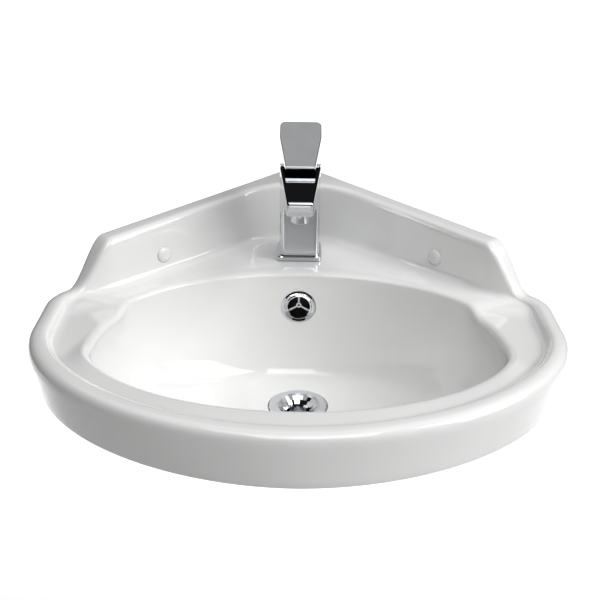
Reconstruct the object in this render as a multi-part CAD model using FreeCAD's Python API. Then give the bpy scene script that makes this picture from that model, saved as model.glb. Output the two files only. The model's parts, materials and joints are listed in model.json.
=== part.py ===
import FreeCAD
import Part
import math
import os

from FreeCAD import Vector

# Wall-hung corner basin with a single-lever mixer tap.
# Origin: where the two walls meet, at the height of the tap deck. The walls run along
# x = -y and x = y behind the basin, the room is towards -Y, and +Z is up.
# All lengths are in millimetres and all angles in degrees.

# --- basin outline -------------------------------------------------------------
BASIN_HALF_WIDTH = 260.0
BASIN_REACH = 523.0
WIDEST_Y = -333.0
FRONT_FULLNESS = 1.92
WING_CORNER_R = 50.0
CORNER_CUT = 12.0

# --- rim, apron and upstand ------------------------------------------------------
APRON_DEPTH = 50.0
APRON_WALL = 11.0
APRON_FRONT_INSET = 1.0
APRON_SIDE_INSET = 6.0
RIM_FRONT_HEIGHT = 1.5
RIM_WING_HEIGHT = 4.5
RIM_ROUND = 10.0
RIM_CREST = 1.5
RIM_INNER_ROUND = 5.0
RIM_DRAFT = 2.0
UPSTAND_CORNER_HEIGHT = 66.0
UPSTAND_END_HEIGHT = 53.0
UPSTAND_FOOT = 30.0
UPSTAND_TOP = 23.0
UPSTAND_ROUND = 5.0
UPSTAND_INNER_ROUND = 8.0
UPSTAND_INNER_CORNER_R = 85.0
UPSTAND_LENGTH = 297.0
SWEEP_DOWN_LENGTH = 50.0
SWEEP_LEAD = 10.0
WALL_GRIND = 0.6
BACK_RECESS_DEPTH = 12.0
BACK_RECESS_START = 62.0
BACK_RECESS_END = 286.0
BACK_RECESS_LIP = 14.0
SCREW_BOSS_R = 21.0
DECK_THICKNESS = 14.0
DECK_OVERLAP = 4.0
FOOT_SUNK = 6.0

# --- bowl ------------------------------------------------------------------------
BOWL_HALF_WIDTH = 202.0
BOWL_WIDEST_Y = -345.0
BOWL_BACK_Y = -187.0
BOWL_FRONT_Y = -477.0
BOWL_DEPTH = 125.0
BOWL_WALL = 10.0
BOWL_EDGE_DROP = 5.0
BOWL_EDGE_FLARE = 5.0
DRAIN_Y = -262.0
DRAIN_FLAT_R = 38.0
DRAIN_HOLE_R = 23.0
DRAIN_BOSS_R = 38.0
DRAIN_BOSS_HEIGHT = 40.0

# --- soap trays ------------------------------------------------------------------
TRAY_X = 211.0
TRAY_Y = -305.0
TRAY_HALF_LENGTH = 60.0
TRAY_HALF_WIDTH = 31.0
TRAY_TURN = 128.0
TRAY_DEPTH = 5.0

# --- overflow ----------------------------------------------------------------------
OVERFLOW_DEPTH = 42.5
OVERFLOW_HOLE_R = 14.0
OVERFLOW_RING_R = 18.8
OVERFLOW_RING_PROUD = 2.6
OVERFLOW_BORE_R = 12.6
OVERFLOW_SLEEVE_LENGTH = 12.0
OVERFLOW_SPIDER_DEPTH = 5.0
OVERFLOW_SPIDER_THICKNESS = 1.6
OVERFLOW_ARM_WIDTH = 2.4
OVERFLOW_HUB_R = 3.0
OVERFLOW_HUB_HOLE_R = 1.2
OVERFLOW_SEAT_SINK = 1.0
DUCT_WIDTH = 34.0
DUCT_WALL = 6.0
DUCT_GAP = 12.0

# --- wall fixings ------------------------------------------------------------------
SCREW_FROM_WING = 110.0
SCREW_HEIGHT = 19.0
SCREW_SHANK_R = 3.6
SCREW_THREAD_R = 4.0
SCREW_INTO_WALL = 50.0
SCREW_TIP = 4.0
SCREW_HEAD_HEIGHT = 5.5
SCREW_HEAD_FLATS = 13.0
SCREW_HOLE_CLEARANCE = 1.5
COLLAR_R = 8.8
COLLAR_FLANGE = 3.0
COLLAR_SPIGOT_R = 5.6
COLLAR_SPIGOT = 8.0
COLLAR_CLEARANCE = 0.2
CAP_WALL = 1.2
CAP_PROUD = 4.0
CAP_SKIRT_PROUD = 1.6

# --- tap body ----------------------------------------------------------------------
TAP_Y = -133.0
TAP_HOLE_R = 17.5
BASE_PLATE_SIZE = 50.0
BASE_PLATE_THICKNESS = 5.0
BASE_PLATE_ROUND = 5.0
BASE_PLATE_EDGE = 1.2
GASKET_THICKNESS = 1.0
GASKET_INSET = 1.5
TAP_BODY_SIZE = 44.6
TAP_BODY_ROUND = 6.0
TAP_BODY_HEIGHT = 105.5
TAP_RELIEF_START = 7.0
TAP_RELIEF_SLACK = 2.0
TAP_SPIGOT_R = 16.5
TAP_SPIGOT_LENGTH = 14.0

# --- spout -------------------------------------------------------------------------
SPOUT_REACH = 115.0
SPOUT_TIP_WIDTH = 27.0
SPOUT_TOP_STEP = 1.0
SPOUT_FALL = 9.0
SPOUT_TIP_HEIGHT = 14.5
SPOUT_ROOT_HEIGHT = 54.5
SPOUT_EDGE_ROUND = 3.0

# --- aerator -----------------------------------------------------------------------
AERATOR_SETBACK = 12.0
AERATOR_R = 9.5
AERATOR_DROP = 9.5
AERATOR_SPIGOT_R = 8.0
AERATOR_SPIGOT_LENGTH = 7.0
AERATOR_BORE_R = 6.6
AERATOR_LIP = 0.8
AERATOR_LIP_HEIGHT = 1.2
AERATOR_INSERT_HEIGHT = 11.0
AERATOR_INSERT_WALL = 1.0
AERATOR_SLAT = 0.8
AERATOR_WASHER = 1.5
AERATOR_WASHER_BORE_R = 5.0

# --- water ways ----------------------------------------------------------------------
INLET_OFFSET_X = 8.5
INLET_OFFSET_Y = 3.5
INLET_THREAD_R = 4.5
INLET_DEPTH = 14.0
WATERWAY_R = 3.2
OUTLET_OFFSET_Y = -8.0
OUTLET_SUMP = 11.5
SPOUT_CHANNEL_BEND = 37.0
SPOUT_CHANNEL_BEND_RISE = 6.5

# --- lever -----------------------------------------------------------------------------
LEVER_WIDTH = 45.6
LEVER_TIP_WIDTH = 31.0
LEVER_BACK = 23.0
LEVER_REACH = 46.0
LEVER_GAP = 2.0
LEVER_TIP_THICKNESS = 3.5
LEVER_TIP_UNDERCUT = 3.0
LEVER_RISE = 32.0
LEVER_BACK_ROUND = 6.0
LEVER_EDGE_ROUND = 1.2
LEVER_CAVITY_R = 18.5
LEVER_CAVITY_HEIGHT = 12.5
LEVER_SOCKET_WALL = 3.5
LEVER_SOCKET_START = 18.5
LEVER_LIFT = 22.0
LEVER_SWIVEL = 50.0
GRUB_R = 2.5
GRUB_HEIGHT = 21.5
PLUG_R = 3.2
PLUG_LENGTH = 3.0

# --- cartridge, stacked upwards from its seat -----------------------------------------------
CARTRIDGE_BORE_DEPTH = 41.5
CARTRIDGE_R = 17.5
CARTRIDGE_CLEARANCE = 0.3
CARTRIDGE_BASE_HEIGHT = 5.0
FIXED_DISC_R = 14.0
FIXED_DISC_THICKNESS = 4.5
MOVING_DISC_R = 10.0
MOVING_DISC_THICKNESS = 5.0
DISC_POCKET_DEPTH = 2.0
CARRIER_R = 14.2
CARRIER_FLANGE = 3.6
CARRIER_NECK_R = 10.8
CARRIER_ABOVE_PIVOT = 10.0
RUNNING_GAP = 0.08
FACE_GAP = 0.1
HOUSING_SHOULDER = 25.0
HOUSING_NECK_R = 13.5
HOUSING_NECK_HEIGHT = 9.0
PIVOT_ABOVE_DISC = 11.5
PIVOT_PIN_R = 1.5
PIVOT_PIN_CLEARANCE = 0.05
STEM_SIZE = 8.0
STEM_ABOVE_PIVOT = 25.0
STEM_SQUARE_BELOW_PIVOT = 4.0
STEM_SIDE_GAP = 0.15
STEM_NECK_R = 2.4
BALL_R = 3.0
BALL_SUNK = 0.5
BALL_GAP = 0.15
NUT_HEIGHT = 5.0
NUT_SLOT = 4.0
COVER_HEIGHT = 8.5
COVER_THICKNESS = 1.5
COVER_BORE_R = 11.5
PORT_SEAL_R = 4.5
PORT_SEAL_THICKNESS = 1.2

# --- tap fixing below the deck -----------------------------------------------------------
STUD_R = 4.0
STUD_OFFSET_Y = -10.0
STUD_BELOW_DECK = 48.0
STUD_IN_BODY = 10.0
HORSESHOE_R = 24.0
HORSESHOE_SLOT = 27.0
HORSESHOE_RUBBER = 3.0
HORSESHOE_PLATE = 2.5
FIXING_NUT_FLATS = 13.0
FIXING_NUT_HEIGHT = 22.0

# --- waste ---------------------------------------------------------------------------------
WASTE_FLANGE_R = 31.5
WASTE_FLANGE_THICKNESS = 3.5
WASTE_FLANGE_PROUD = 0.5
WASTE_LIP_WIDTH = 7.5
WASTE_THROAT_R = 13.4
WASTE_DISH_DEPTH = 10.0
WASTE_THROAT_LENGTH = 4.0
WASTE_TAIL_R = 20.95
WASTE_TAIL_WALL = 2.6
WASTE_TAIL_LENGTH = 92.0
WASTE_PLAIN_END = 38.0
WASTE_GROOVE = 1.0
WASTE_SLOT_TOP = 18.0
WASTE_SLOT_HEIGHT = 14.0
WASTE_SLOT_WIDTH = 14.0
TOP_SEAL_THICKNESS = 2.0
BOTTOM_SEAL_THICKNESS = 4.0
BOTTOM_SEAL_R = 28.0
BACKNUT_FLATS = 52.0
BACKNUT_HEIGHT = 9.0
THREAD_GAP = 0.1

# --- heights and places that follow from the sizes above -----------------------------------
ROOT2 = math.sqrt(2.0)
DEEPEST = -BOWL_DEPTH
BOSS_BOTTOM = DEEPEST - DRAIN_BOSS_HEIGHT
TAP_FOOT = GASKET_THICKNESS + BASE_PLATE_THICKNESS
TAP_TOP = TAP_FOOT + TAP_BODY_HEIGHT
TAP_FRONT_Y = TAP_Y - TAP_BODY_SIZE / 2
SPOUT_TIP_Y = TAP_Y - SPOUT_REACH
SPOUT_ROOT_TOP = TAP_TOP - SPOUT_TOP_STEP
SPOUT_TIP_TOP = SPOUT_ROOT_TOP - SPOUT_FALL
SPOUT_TIP_BOTTOM = SPOUT_TIP_TOP - SPOUT_TIP_HEIGHT
AERATOR_Y = SPOUT_TIP_Y + AERATOR_SETBACK
SEAT = TAP_TOP - CARTRIDGE_BORE_DEPTH
CARTRIDGE_BORE_R = CARTRIDGE_R + CARTRIDGE_CLEARANCE
BASE_TOP = SEAT + CARTRIDGE_BASE_HEIGHT
FIXED_DISC_TOP = BASE_TOP + FIXED_DISC_THICKNESS
MOVING_DISC_TOP = FIXED_DISC_TOP + MOVING_DISC_THICKNESS
CARRIER_BOTTOM = MOVING_DISC_TOP + FACE_GAP
CARRIER_SHOULDER = CARRIER_BOTTOM + CARRIER_FLANGE
SHOULDER = SEAT + HOUSING_SHOULDER
NUT_TOP = SHOULDER + NUT_HEIGHT
PIVOT = MOVING_DISC_TOP + PIVOT_ABOVE_DISC
STEM_ARM = PIVOT_ABOVE_DISC + BALL_SUNK
STEM_LEAN = LEVER_LIFT / 2.0
BALL_SHIFT = STEM_ARM * math.sin(math.radians(STEM_LEAN))
LEVER_BOTTOM = TAP_TOP + LEVER_GAP
LEVER_TIP_TOP = LEVER_BOTTOM + LEVER_TIP_THICKNESS
LEVER_BACK_TOP = LEVER_TIP_TOP + LEVER_RISE
SOCKET_DEPTH = COLLAR_FLANGE + SCREW_HEAD_HEIGHT
FLANGE_SEAT = DEEPEST + WASTE_FLANGE_PROUD - WASTE_FLANGE_THICKNESS


# --- small helpers ---------------------------------------------------------------------
def lines(points):
    """A closed wire of straight edges."""
    return Part.makePolygon(list(points) + [points[0]])


def cylinder(radius, start, end):
    """A round bar from one point to another."""
    run = end - start
    return Part.makeCylinder(radius, run.Length, start, run)


def ring(outer_r, inner_r, bottom, top, x=0.0, y=0.0):
    """An upright tube."""
    outer = cylinder(outer_r, Vector(x, y, bottom), Vector(x, y, top))
    return outer.cut(cylinder(inner_r, Vector(x, y, bottom - 1), Vector(x, y, top + 1)))


def turned(profile, x, y):
    """A solid of revolution about the upright line through (x, y), from (radius, z) points."""
    wire = lines([Vector(x + r, y, z) for r, z in profile])
    return Part.Face(wire).revolve(Vector(x, y, 0), Vector(0, 0, 1), 360)


def side_prism(profile, half_width):
    """A solid of one side view, from (y, z) points, spread evenly about the middle plane."""
    face = Part.Face(lines([Vector(-half_width, y, z) for y, z in profile]))
    return face.extrude(Vector(2 * half_width, 0, 0))


def plan_prism(points, bottom, top):
    """A solid of one plan view, from (x, y) points."""
    face = Part.Face(lines([Vector(x, y, bottom) for x, y in points]))
    return face.extrude(Vector(0, 0, top - bottom))


def rounded_block(size_x, size_y, corner_r, bottom, top, x=0.0, y=0.0):
    """A block whose four upright edges are rounded."""
    corner = Vector(x - size_x / 2, y - size_y / 2, bottom)
    block = Part.makeBox(size_x, size_y, top - bottom, corner)
    upright = [e for e in block.Edges if abs(e.Vertexes[0].Z - e.Vertexes[-1].Z) > (top - bottom) / 2]
    return block.makeFillet(corner_r, upright)


def hexagon(flats, bottom, top, x=0.0, y=0.0):
    """An upright six-sided bar."""
    corner_r = flats / math.sqrt(3)
    turns = [math.radians(60 * k) for k in range(6)]
    return plan_prism([(x + corner_r * math.cos(t), y + corner_r * math.sin(t)) for t in turns], bottom, top)


def placed(shape, point, direction):
    """A piece modelled upright at the origin, moved to a point with its top along a direction."""
    moved = shape.copy()
    moved.Placement = FreeCAD.Placement(point, FreeCAD.Rotation(Vector(0, 0, 1), direction))
    return moved


def mirrored(shape):
    """The same piece on the other side of the middle plane."""
    return shape.mirror(Vector(0, 0, 0), Vector(1, 0, 0))


def blend(value):
    """An even S-shaped step from 0 to 1."""
    value = min(max(value, 0.0), 1.0)
    return value * value * (3.0 - 2.0 * value)


# --- outline of the basin, right half ------------------------------------------------------
def front_point(angle):
    """Outline point and inward direction on the rounded front, 0 at the middle, 90 at the side."""
    half_depth = BASIN_REACH + WIDEST_Y
    power = 2.0 / FRONT_FULLNESS
    sine = math.sin(math.radians(angle)) ** power
    cosine = max(math.cos(math.radians(angle)), 0.0) ** power
    point = Vector(BASIN_HALF_WIDTH * sine, WIDEST_Y - half_depth * cosine, 0)
    across = sine ** (FRONT_FULLNESS - 1) / BASIN_HALF_WIDTH
    along = cosine ** (FRONT_FULLNESS - 1) / half_depth
    inward = Vector(-across, along, 0)
    return point, inward.normalize()


def wing_centre():
    """Centre of the round between the straight side and the wall edge."""
    x = BASIN_HALF_WIDTH - WING_CORNER_R
    return Vector(x, -x - WING_CORNER_R * ROOT2, 0)


def wing_point(angle):
    """Outline point and inward direction on the wing corner, 0 at the side, 45 at the wall."""
    outward = Vector(math.cos(math.radians(angle)), math.sin(math.radians(angle)), 0)
    return wing_centre() + outward * WING_CORNER_R, outward * -1.0


def wall_point(along, inset=0.0):
    """A point at a distance along the right wall and out from it."""
    return Vector((along - inset) / ROOT2, -(along + inset) / ROOT2, 0)


def wall_edge_length():
    """Distance along the wall at which the wing corner leaves it."""
    end = wing_point(45)[0]
    return (end.x - end.y) / ROOT2


def upstand_height(along):
    """Height of the upstand top above the deck, falling evenly away from the corner."""
    slope = (UPSTAND_CORNER_HEIGHT - UPSTAND_END_HEIGHT) / UPSTAND_LENGTH
    return UPSTAND_CORNER_HEIGHT - slope * along


def wall_section(point, inward, size, inset, wall=APRON_WALL):
    """One upright section of the apron, rim and upstand: height, foot, top and two rounds."""
    height, foot, top, outer_round, inner_round = size

    def at(out, z):
        return point + inward * out + Vector(0, 0, z)

    start = at(inset, -APRON_DEPTH)
    shoulder = at(0, height - outer_round)
    crown = at(outer_round, height)
    brow = at(top - inner_round, height)
    cheek = at(top + (foot - top) * inner_round / (height + FOOT_SUNK), height - inner_round)
    root = at(foot, -FOOT_SUNK)
    step = at(wall, -DECK_THICKNESS + DECK_OVERLAP)
    heel = at(wall + inset, -APRON_DEPTH)
    outer_curve = Part.BezierCurve()
    outer_curve.setPoles([shoulder, at(0, height), crown])
    inner_curve = Part.BezierCurve()
    inner_curve.setPoles([brow, at(top, height), cheek])
    edges = [
        Part.makeLine(start, shoulder), outer_curve.toShape(), Part.makeLine(crown, brow),
        inner_curve.toShape(), Part.makeLine(cheek, root), Part.makeLine(root, step),
        Part.makeLine(step, heel), Part.makeLine(heel, start),
    ]
    return Part.Wire(edges)


def rim_size(rise):
    """Section sizes of the low rim; rise runs from 0 at the front to 1 at the wing."""
    height = RIM_FRONT_HEIGHT + (RIM_WING_HEIGHT - RIM_FRONT_HEIGHT) * blend(rise)
    top = RIM_ROUND + RIM_CREST + RIM_INNER_ROUND
    return height, top + RIM_DRAFT, top, RIM_ROUND, RIM_INNER_ROUND


def apron_inset(share):
    """How far the apron's foot is drawn in; share runs from 0 at the front to 1 at the side."""
    return APRON_FRONT_INSET + (APRON_SIDE_INSET - APRON_FRONT_INSET) * blend(share)


def sweep_size(along):
    """Section sizes where the upstand sweeps down into the rim."""
    share = blend((along - UPSTAND_LENGTH) / SWEEP_DOWN_LENGTH)
    tall = (upstand_height(along), UPSTAND_FOOT, UPSTAND_TOP, UPSTAND_ROUND, UPSTAND_INNER_ROUND)
    low = rim_size(1.0)
    return tuple(a + (b - a) * share for a, b in zip(tall, low))


def corner_section(angle):
    """A section of the upstand round its inner corner; 45 on the wall, 0 in the middle plane."""
    reach = (UPSTAND_FOOT + UPSTAND_INNER_CORNER_R) * ROOT2
    outward = Vector(math.sin(math.radians(angle)), math.cos(math.radians(angle)), 0)
    distance = (reach + WALL_GRIND * ROOT2) / (outward.x + outward.y)
    point = Vector(0, -reach, 0) + outward * distance
    foot = distance - UPSTAND_INNER_CORNER_R
    top = foot - UPSTAND_FOOT + UPSTAND_TOP
    height = upstand_height(point.x * ROOT2)
    size = (height, foot, top, UPSTAND_ROUND, UPSTAND_INNER_ROUND)
    return wall_section(point, outward * -1.0, size, 0.0, APRON_WALL + CORNER_CUT * (1 - angle / 45))


def shares(count):
    """Even steps from 0 up to, but without, 1."""
    return [k / count for k in range(count)]


def wall_ring_half():
    """Apron, rim and upstand of the right half, lofted from the front to the back corner."""
    sections = []
    for share in shares(12):
        point, inward = front_point(90.0 * share)
        sections.append(wall_section(point, inward, rim_size(share), apron_inset(share)))
    bend = wing_centre()
    for share in shares(3):
        point = Vector(BASIN_HALF_WIDTH, WIDEST_Y + (bend.y - WIDEST_Y) * share, 0)
        sections.append(wall_section(point, Vector(-1, 0, 0), rim_size(1.0), APRON_SIDE_INSET))
    for share in shares(3):
        point, inward = wing_point(45.0 * share)
        sections.append(wall_section(point, inward, rim_size(1.0), APRON_SIDE_INSET * (1 - share)))
    edge = wall_edge_length()
    level = UPSTAND_LENGTH - SWEEP_LEAD
    corner = UPSTAND_FOOT + UPSTAND_INNER_CORNER_R
    stops = [edge + (level - edge) * share for share in shares(8)]
    stops += [level + (corner - level) * share for share in shares(5)]
    for along in stops:
        height, foot, top, outer_round, inner_round = sweep_size(along)
        size = (height, foot + WALL_GRIND, top + WALL_GRIND, outer_round + WALL_GRIND, inner_round)
        sections.append(wall_section(wall_point(along, -WALL_GRIND), wall_point(0, 1), size, 0.0))
    sections += [corner_section(45.0 * (1 - share)) for share in shares(5) + [1.0]]
    return Part.makeLoft(sections, True, False)


def inset_outline(inset, z):
    """Closed outline of the basin at a distance inside its outer face."""
    front = Part.BSplineCurve()
    points = []
    for k in range(-10, 11):
        point, inward = front_point(abs(9.0 * k))
        point += inward * inset
        points.append(Vector(math.copysign(point.x, k), point.y, z))
    front.interpolate(points)
    lift = Vector(0, 0, z)
    turn = [wing_point(angle) for angle in (0.0, 22.5, 45.0)]
    a, b, c = [point + inward * inset + lift for point, inward in turn]
    apex = Vector(0, -inset * ROOT2, z)
    right = [Part.makeLine(points[-1], a), Part.Arc(a, b, c).toShape(), Part.makeLine(c, apex)]
    left = [mirrored(edge) for edge in reversed(right)]
    return Part.Wire(Part.__sortEdges__([front.toShape()] + right + left))


# --- bowl ----------------------------------------------------------------------------------
def bowl_ring(depth, wall=0.0, spread=0.0):
    """One level of the bowl as a closed curve; depth runs from 0 at the edge to 1 at the waste."""
    side = (1.0 - depth ** 2.5) ** (1 / 2.5)
    back = (1.0 - depth ** 4.0) ** 0.25
    half_width = DRAIN_FLAT_R + (BOWL_HALF_WIDTH - DRAIN_FLAT_R) * side + wall + spread
    back_y = DRAIN_Y + DRAIN_FLAT_R + (BOWL_BACK_Y - DRAIN_Y - DRAIN_FLAT_R) * back + wall + spread
    front_y = DRAIN_Y - DRAIN_FLAT_R + (BOWL_FRONT_Y - DRAIN_Y + DRAIN_FLAT_R) * side - wall - spread
    middle_y = DRAIN_Y + (BOWL_WIDEST_Y - DRAIN_Y) * side
    z = -BOWL_EDGE_DROP - (BOWL_DEPTH - BOWL_EDGE_DROP) * depth - wall * depth
    points = []
    count = 32
    for k in range(count):
        turn = 2 * math.pi * k / count
        reach = back_y - middle_y if math.sin(turn) > 0 else middle_y - front_y
        points.append(Vector(half_width * math.cos(turn), middle_y + reach * math.sin(turn), z))
    return points


def closed_curve(points):
    """A smooth closed wire through the points."""
    curve = Part.BSplineCurve()
    curve.interpolate(points, True)
    return Part.Wire(curve.toShape())


BOWL_LEVELS = (0.0, 0.12, 0.28, 0.45, 0.62, 0.77, 0.89, 0.965, 1.0)


def bowl_hollow():
    """The space inside the bowl, flaring out over its edge."""
    rings = []
    for rise, share in ((1.0, 1.5), (0.0, 0.9), (-0.4, 0.3)):
        lip = bowl_ring(0.0, 0.0, BOWL_EDGE_FLARE * share)
        level = rise * BOWL_EDGE_DROP
        rings.append([Vector(p.x, p.y, level) for p in lip])
    rings += [bowl_ring(depth) for depth in BOWL_LEVELS]
    return Part.makeLoft([closed_curve(points) for points in rings], True, False)


def bowl_shell():
    """The bowl with its wall thickness, before it is hollowed."""
    return Part.makeLoft([closed_curve(bowl_ring(d, BOWL_WALL)) for d in BOWL_LEVELS], True, False)


def bowl_back_y(depth_below_deck):
    """Where the inner face of the bowl's back wall lies at a depth below the deck."""
    share = (depth_below_deck - BOWL_EDGE_DROP) / (BOWL_DEPTH - BOWL_EDGE_DROP)
    run = BOWL_BACK_Y - DRAIN_Y - DRAIN_FLAT_R
    return DRAIN_Y + DRAIN_FLAT_R + run * (1.0 - share ** 4.0) ** 0.25


def tray_hollow():
    """The shallow soap tray in the right wing, open to the bowl at its inner end."""
    wires = []
    for level, share in ((1.5, 1.05), (0.0, 1.0), (-0.6, 0.9), (-1.0, 0.72)):
        oval = Part.Ellipse(Vector(0, 0, 0), TRAY_HALF_LENGTH * share, TRAY_HALF_WIDTH * share)
        wire = Part.Wire(oval.toShape())
        place = Vector(TRAY_X, TRAY_Y, TRAY_DEPTH * level)
        wire.Placement = FreeCAD.Placement(place, FreeCAD.Rotation(Vector(0, 0, 1), TRAY_TURN))
        wires.append(wire)
    bead = rim_size(1.0)[1]
    inside = Part.Face(inset_outline(bead, -2 * TRAY_DEPTH)).extrude(Vector(0, 0, 4 * TRAY_DEPTH))
    return Part.makeLoft(wires, True, False).common(inside)


# --- the ceramic ----------------------------------------------------------------------------
def duct_profile(inset):
    """Side view of the overflow duct behind and below the bowl, or of its hollow."""
    back = bowl_back_y(OVERFLOW_DEPTH) + BOWL_WALL + DUCT_GAP + DUCT_WALL - inset
    low = BOSS_BOTTOM + inset
    top = -DECK_THICKNESS + 2.0 - inset
    front = DRAIN_Y + inset
    return [
        (back, top), (back, DEEPEST + DUCT_GAP), (back - DUCT_GAP - BOWL_WALL, low + BOWL_WALL),
        (back - 2 * DUCT_GAP - BOWL_WALL, low), (front, low), (front, DEEPEST + DUCT_GAP),
        (bowl_back_y(OVERFLOW_DEPTH), -OVERFLOW_DEPTH), (bowl_back_y(OVERFLOW_DEPTH), top),
    ]


def overflow_frame():
    """Centre of the overflow on the bowl's back wall and the direction into the bowl."""
    step = 4.0
    upper = bowl_back_y(OVERFLOW_DEPTH - step)
    lower = bowl_back_y(OVERFLOW_DEPTH + step)
    facing = Vector(0, -2 * step, upper - lower)
    centre = Vector(0, bowl_back_y(OVERFLOW_DEPTH), -OVERFLOW_DEPTH)
    return centre, facing.normalize()


def screw_along():
    """How far along the wall the screw sits."""
    return wall_edge_length() - SCREW_FROM_WING


def screw_axis():
    """Where the right wall screw meets the wall and the direction out of the wall."""
    point = wall_point(screw_along())
    return Vector(point.x, point.y, SCREW_HEIGHT), wall_point(0, 1)


def upstand_face_inset():
    """How far the upstand's inner face stands out from the wall at the screws."""
    height = upstand_height(screw_along())
    share = (SCREW_HEIGHT + FOOT_SUNK) / (height + FOOT_SUNK)
    return UPSTAND_FOOT + (UPSTAND_TOP - UPSTAND_FOOT) * share


def back_recess():
    """The hollow that relieves the right back face, around a boss for the screw."""
    inner = [
        (BACK_RECESS_START, 0.0),
        (BACK_RECESS_END, 0.0),
        (BACK_RECESS_END, upstand_height(BACK_RECESS_END) - BACK_RECESS_LIP),
        (BACK_RECESS_START, upstand_height(BACK_RECESS_START) - BACK_RECESS_LIP),
    ]
    face = Part.Face(lines([wall_point(along, -1) + Vector(0, 0, z) for along, z in inner]))
    depth = min(BACK_RECESS_DEPTH, UPSTAND_TOP - BOWL_WALL)
    block = face.extrude(wall_point(0, 1) * (depth + 1))
    foot, out = screw_axis()
    boss = cylinder(SCREW_BOSS_R, foot - out * 2, foot + out * (depth + 2))
    return block.cut(boss)


def screw_holes():
    """The stepped hole for the right wall screw, its collar and its cap."""
    foot, out = screw_axis()
    face = upstand_face_inset()
    bore = cylinder(SCREW_SHANK_R + SCREW_HOLE_CLEARANCE, Vector(0, 0, -2), Vector(0, 0, face))
    spigot = cylinder(COLLAR_SPIGOT_R + COLLAR_CLEARANCE,
                      Vector(0, 0, face - SOCKET_DEPTH - COLLAR_SPIGOT), Vector(0, 0, face))
    pocket = cylinder(COLLAR_R + COLLAR_CLEARANCE, Vector(0, 0, face - SOCKET_DEPTH), Vector(0, 0, face + 9))
    return placed(bore.fuse([spigot, pocket]), foot, out)


def waste_hole():
    """The hole through the bowl floor and boss, with the sunk seat for the flange."""
    seat = FLANGE_SEAT - TOP_SEAL_THICKNESS
    hole = cylinder(DRAIN_HOLE_R, Vector(0, DRAIN_Y, BOSS_BOTTOM - 9), Vector(0, DRAIN_Y, DEEPEST + 9))
    sunk = cylinder(WASTE_FLANGE_R + 1.0, Vector(0, DRAIN_Y, seat), Vector(0, DRAIN_Y, DEEPEST + 9))
    return hole.fuse(sunk)


def overflow_hole():
    """The hole through the bowl's back wall, with its flat seat for the ring."""
    hole = cylinder(OVERFLOW_HOLE_R, Vector(0, 0, -BOWL_WALL - 6), Vector(0, 0, 6))
    seat = cylinder(OVERFLOW_RING_R + 0.6, Vector(0, 0, -OVERFLOW_SEAT_SINK), Vector(0, 0, 9))
    return placed(hole.fuse(seat), *overflow_frame())


def wall_space():
    """The walls and the cut-off corner between them, where no ceramic reaches."""
    far = 2 * BASIN_REACH
    walls = plan_prism([(0, 0), (far, -far), (far, far), (-far, far), (-far, -far)], -far, far)
    corner = Part.makeBox(2 * far, far, 2 * far, Vector(-far, -CORNER_CUT, -far))
    return walls.fuse(corner)


def make_basin():
    """The glazed ceramic body: apron, rim, upstand, deck, bowl, duct and holes."""
    half = wall_ring_half()
    plate = Part.Face(inset_outline(APRON_WALL / 2, -DECK_THICKNESS)).extrude(Vector(0, 0, DECK_THICKNESS))
    boss = cylinder(DRAIN_BOSS_R, Vector(0, DRAIN_Y, BOSS_BOTTOM), Vector(0, DRAIN_Y, DEEPEST + 2))
    duct = side_prism(duct_profile(0.0), DUCT_WIDTH / 2 + DUCT_WALL)
    shell = bowl_shell()
    passage = side_prism(duct_profile(DUCT_WALL), DUCT_WIDTH / 2).cut(shell)
    tray = tray_hollow()
    inside = plate.fuse([shell, boss, duct]).cut([bowl_hollow(), tray, mirrored(tray), passage])
    body = inside.fuse([half, mirrored(half)])
    recess = back_recess()
    screws = screw_holes()
    tap_hole = cylinder(TAP_HOLE_R, Vector(0, TAP_Y, -DECK_THICKNESS - 9), Vector(0, TAP_Y, 9))
    holes = [recess, mirrored(recess), screws, mirrored(screws), waste_hole(), overflow_hole(), tap_hole]
    return body.cut([wall_space()] + holes).removeSplitter()


# --- wall fixings ---------------------------------------------------------------------------
def make_wall_screw():
    """A wall screw with a six-sided head; its point reaches into the wall."""
    seat = upstand_face_inset() - SCREW_HEAD_HEIGHT
    tip = Part.makeCone(SCREW_SHANK_R / 4, SCREW_THREAD_R, SCREW_TIP, Vector(0, 0, -SCREW_INTO_WALL - SCREW_TIP))
    thread = cylinder(SCREW_THREAD_R, Vector(0, 0, -SCREW_INTO_WALL), Vector(0, 0, 0))
    shank = cylinder(SCREW_SHANK_R, Vector(0, 0, -1), Vector(0, 0, seat))
    head = hexagon(SCREW_HEAD_FLATS, seat, seat + SCREW_HEAD_HEIGHT)
    return placed(head.fuse([shank, thread, tip]).removeSplitter(), *screw_axis())


def make_screw_collar():
    """The plastic collar that keeps the screw off the ceramic."""
    top = upstand_face_inset() - SCREW_HEAD_HEIGHT
    low = top - COLLAR_FLANGE
    collar = turned([
        (SCREW_SHANK_R + THREAD_GAP, low - COLLAR_SPIGOT), (COLLAR_SPIGOT_R, low - COLLAR_SPIGOT),
        (COLLAR_SPIGOT_R, low), (COLLAR_R, low), (COLLAR_R, top), (SCREW_SHANK_R + THREAD_GAP, top),
    ], 0.0, 0.0)
    return placed(collar, *screw_axis())


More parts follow.
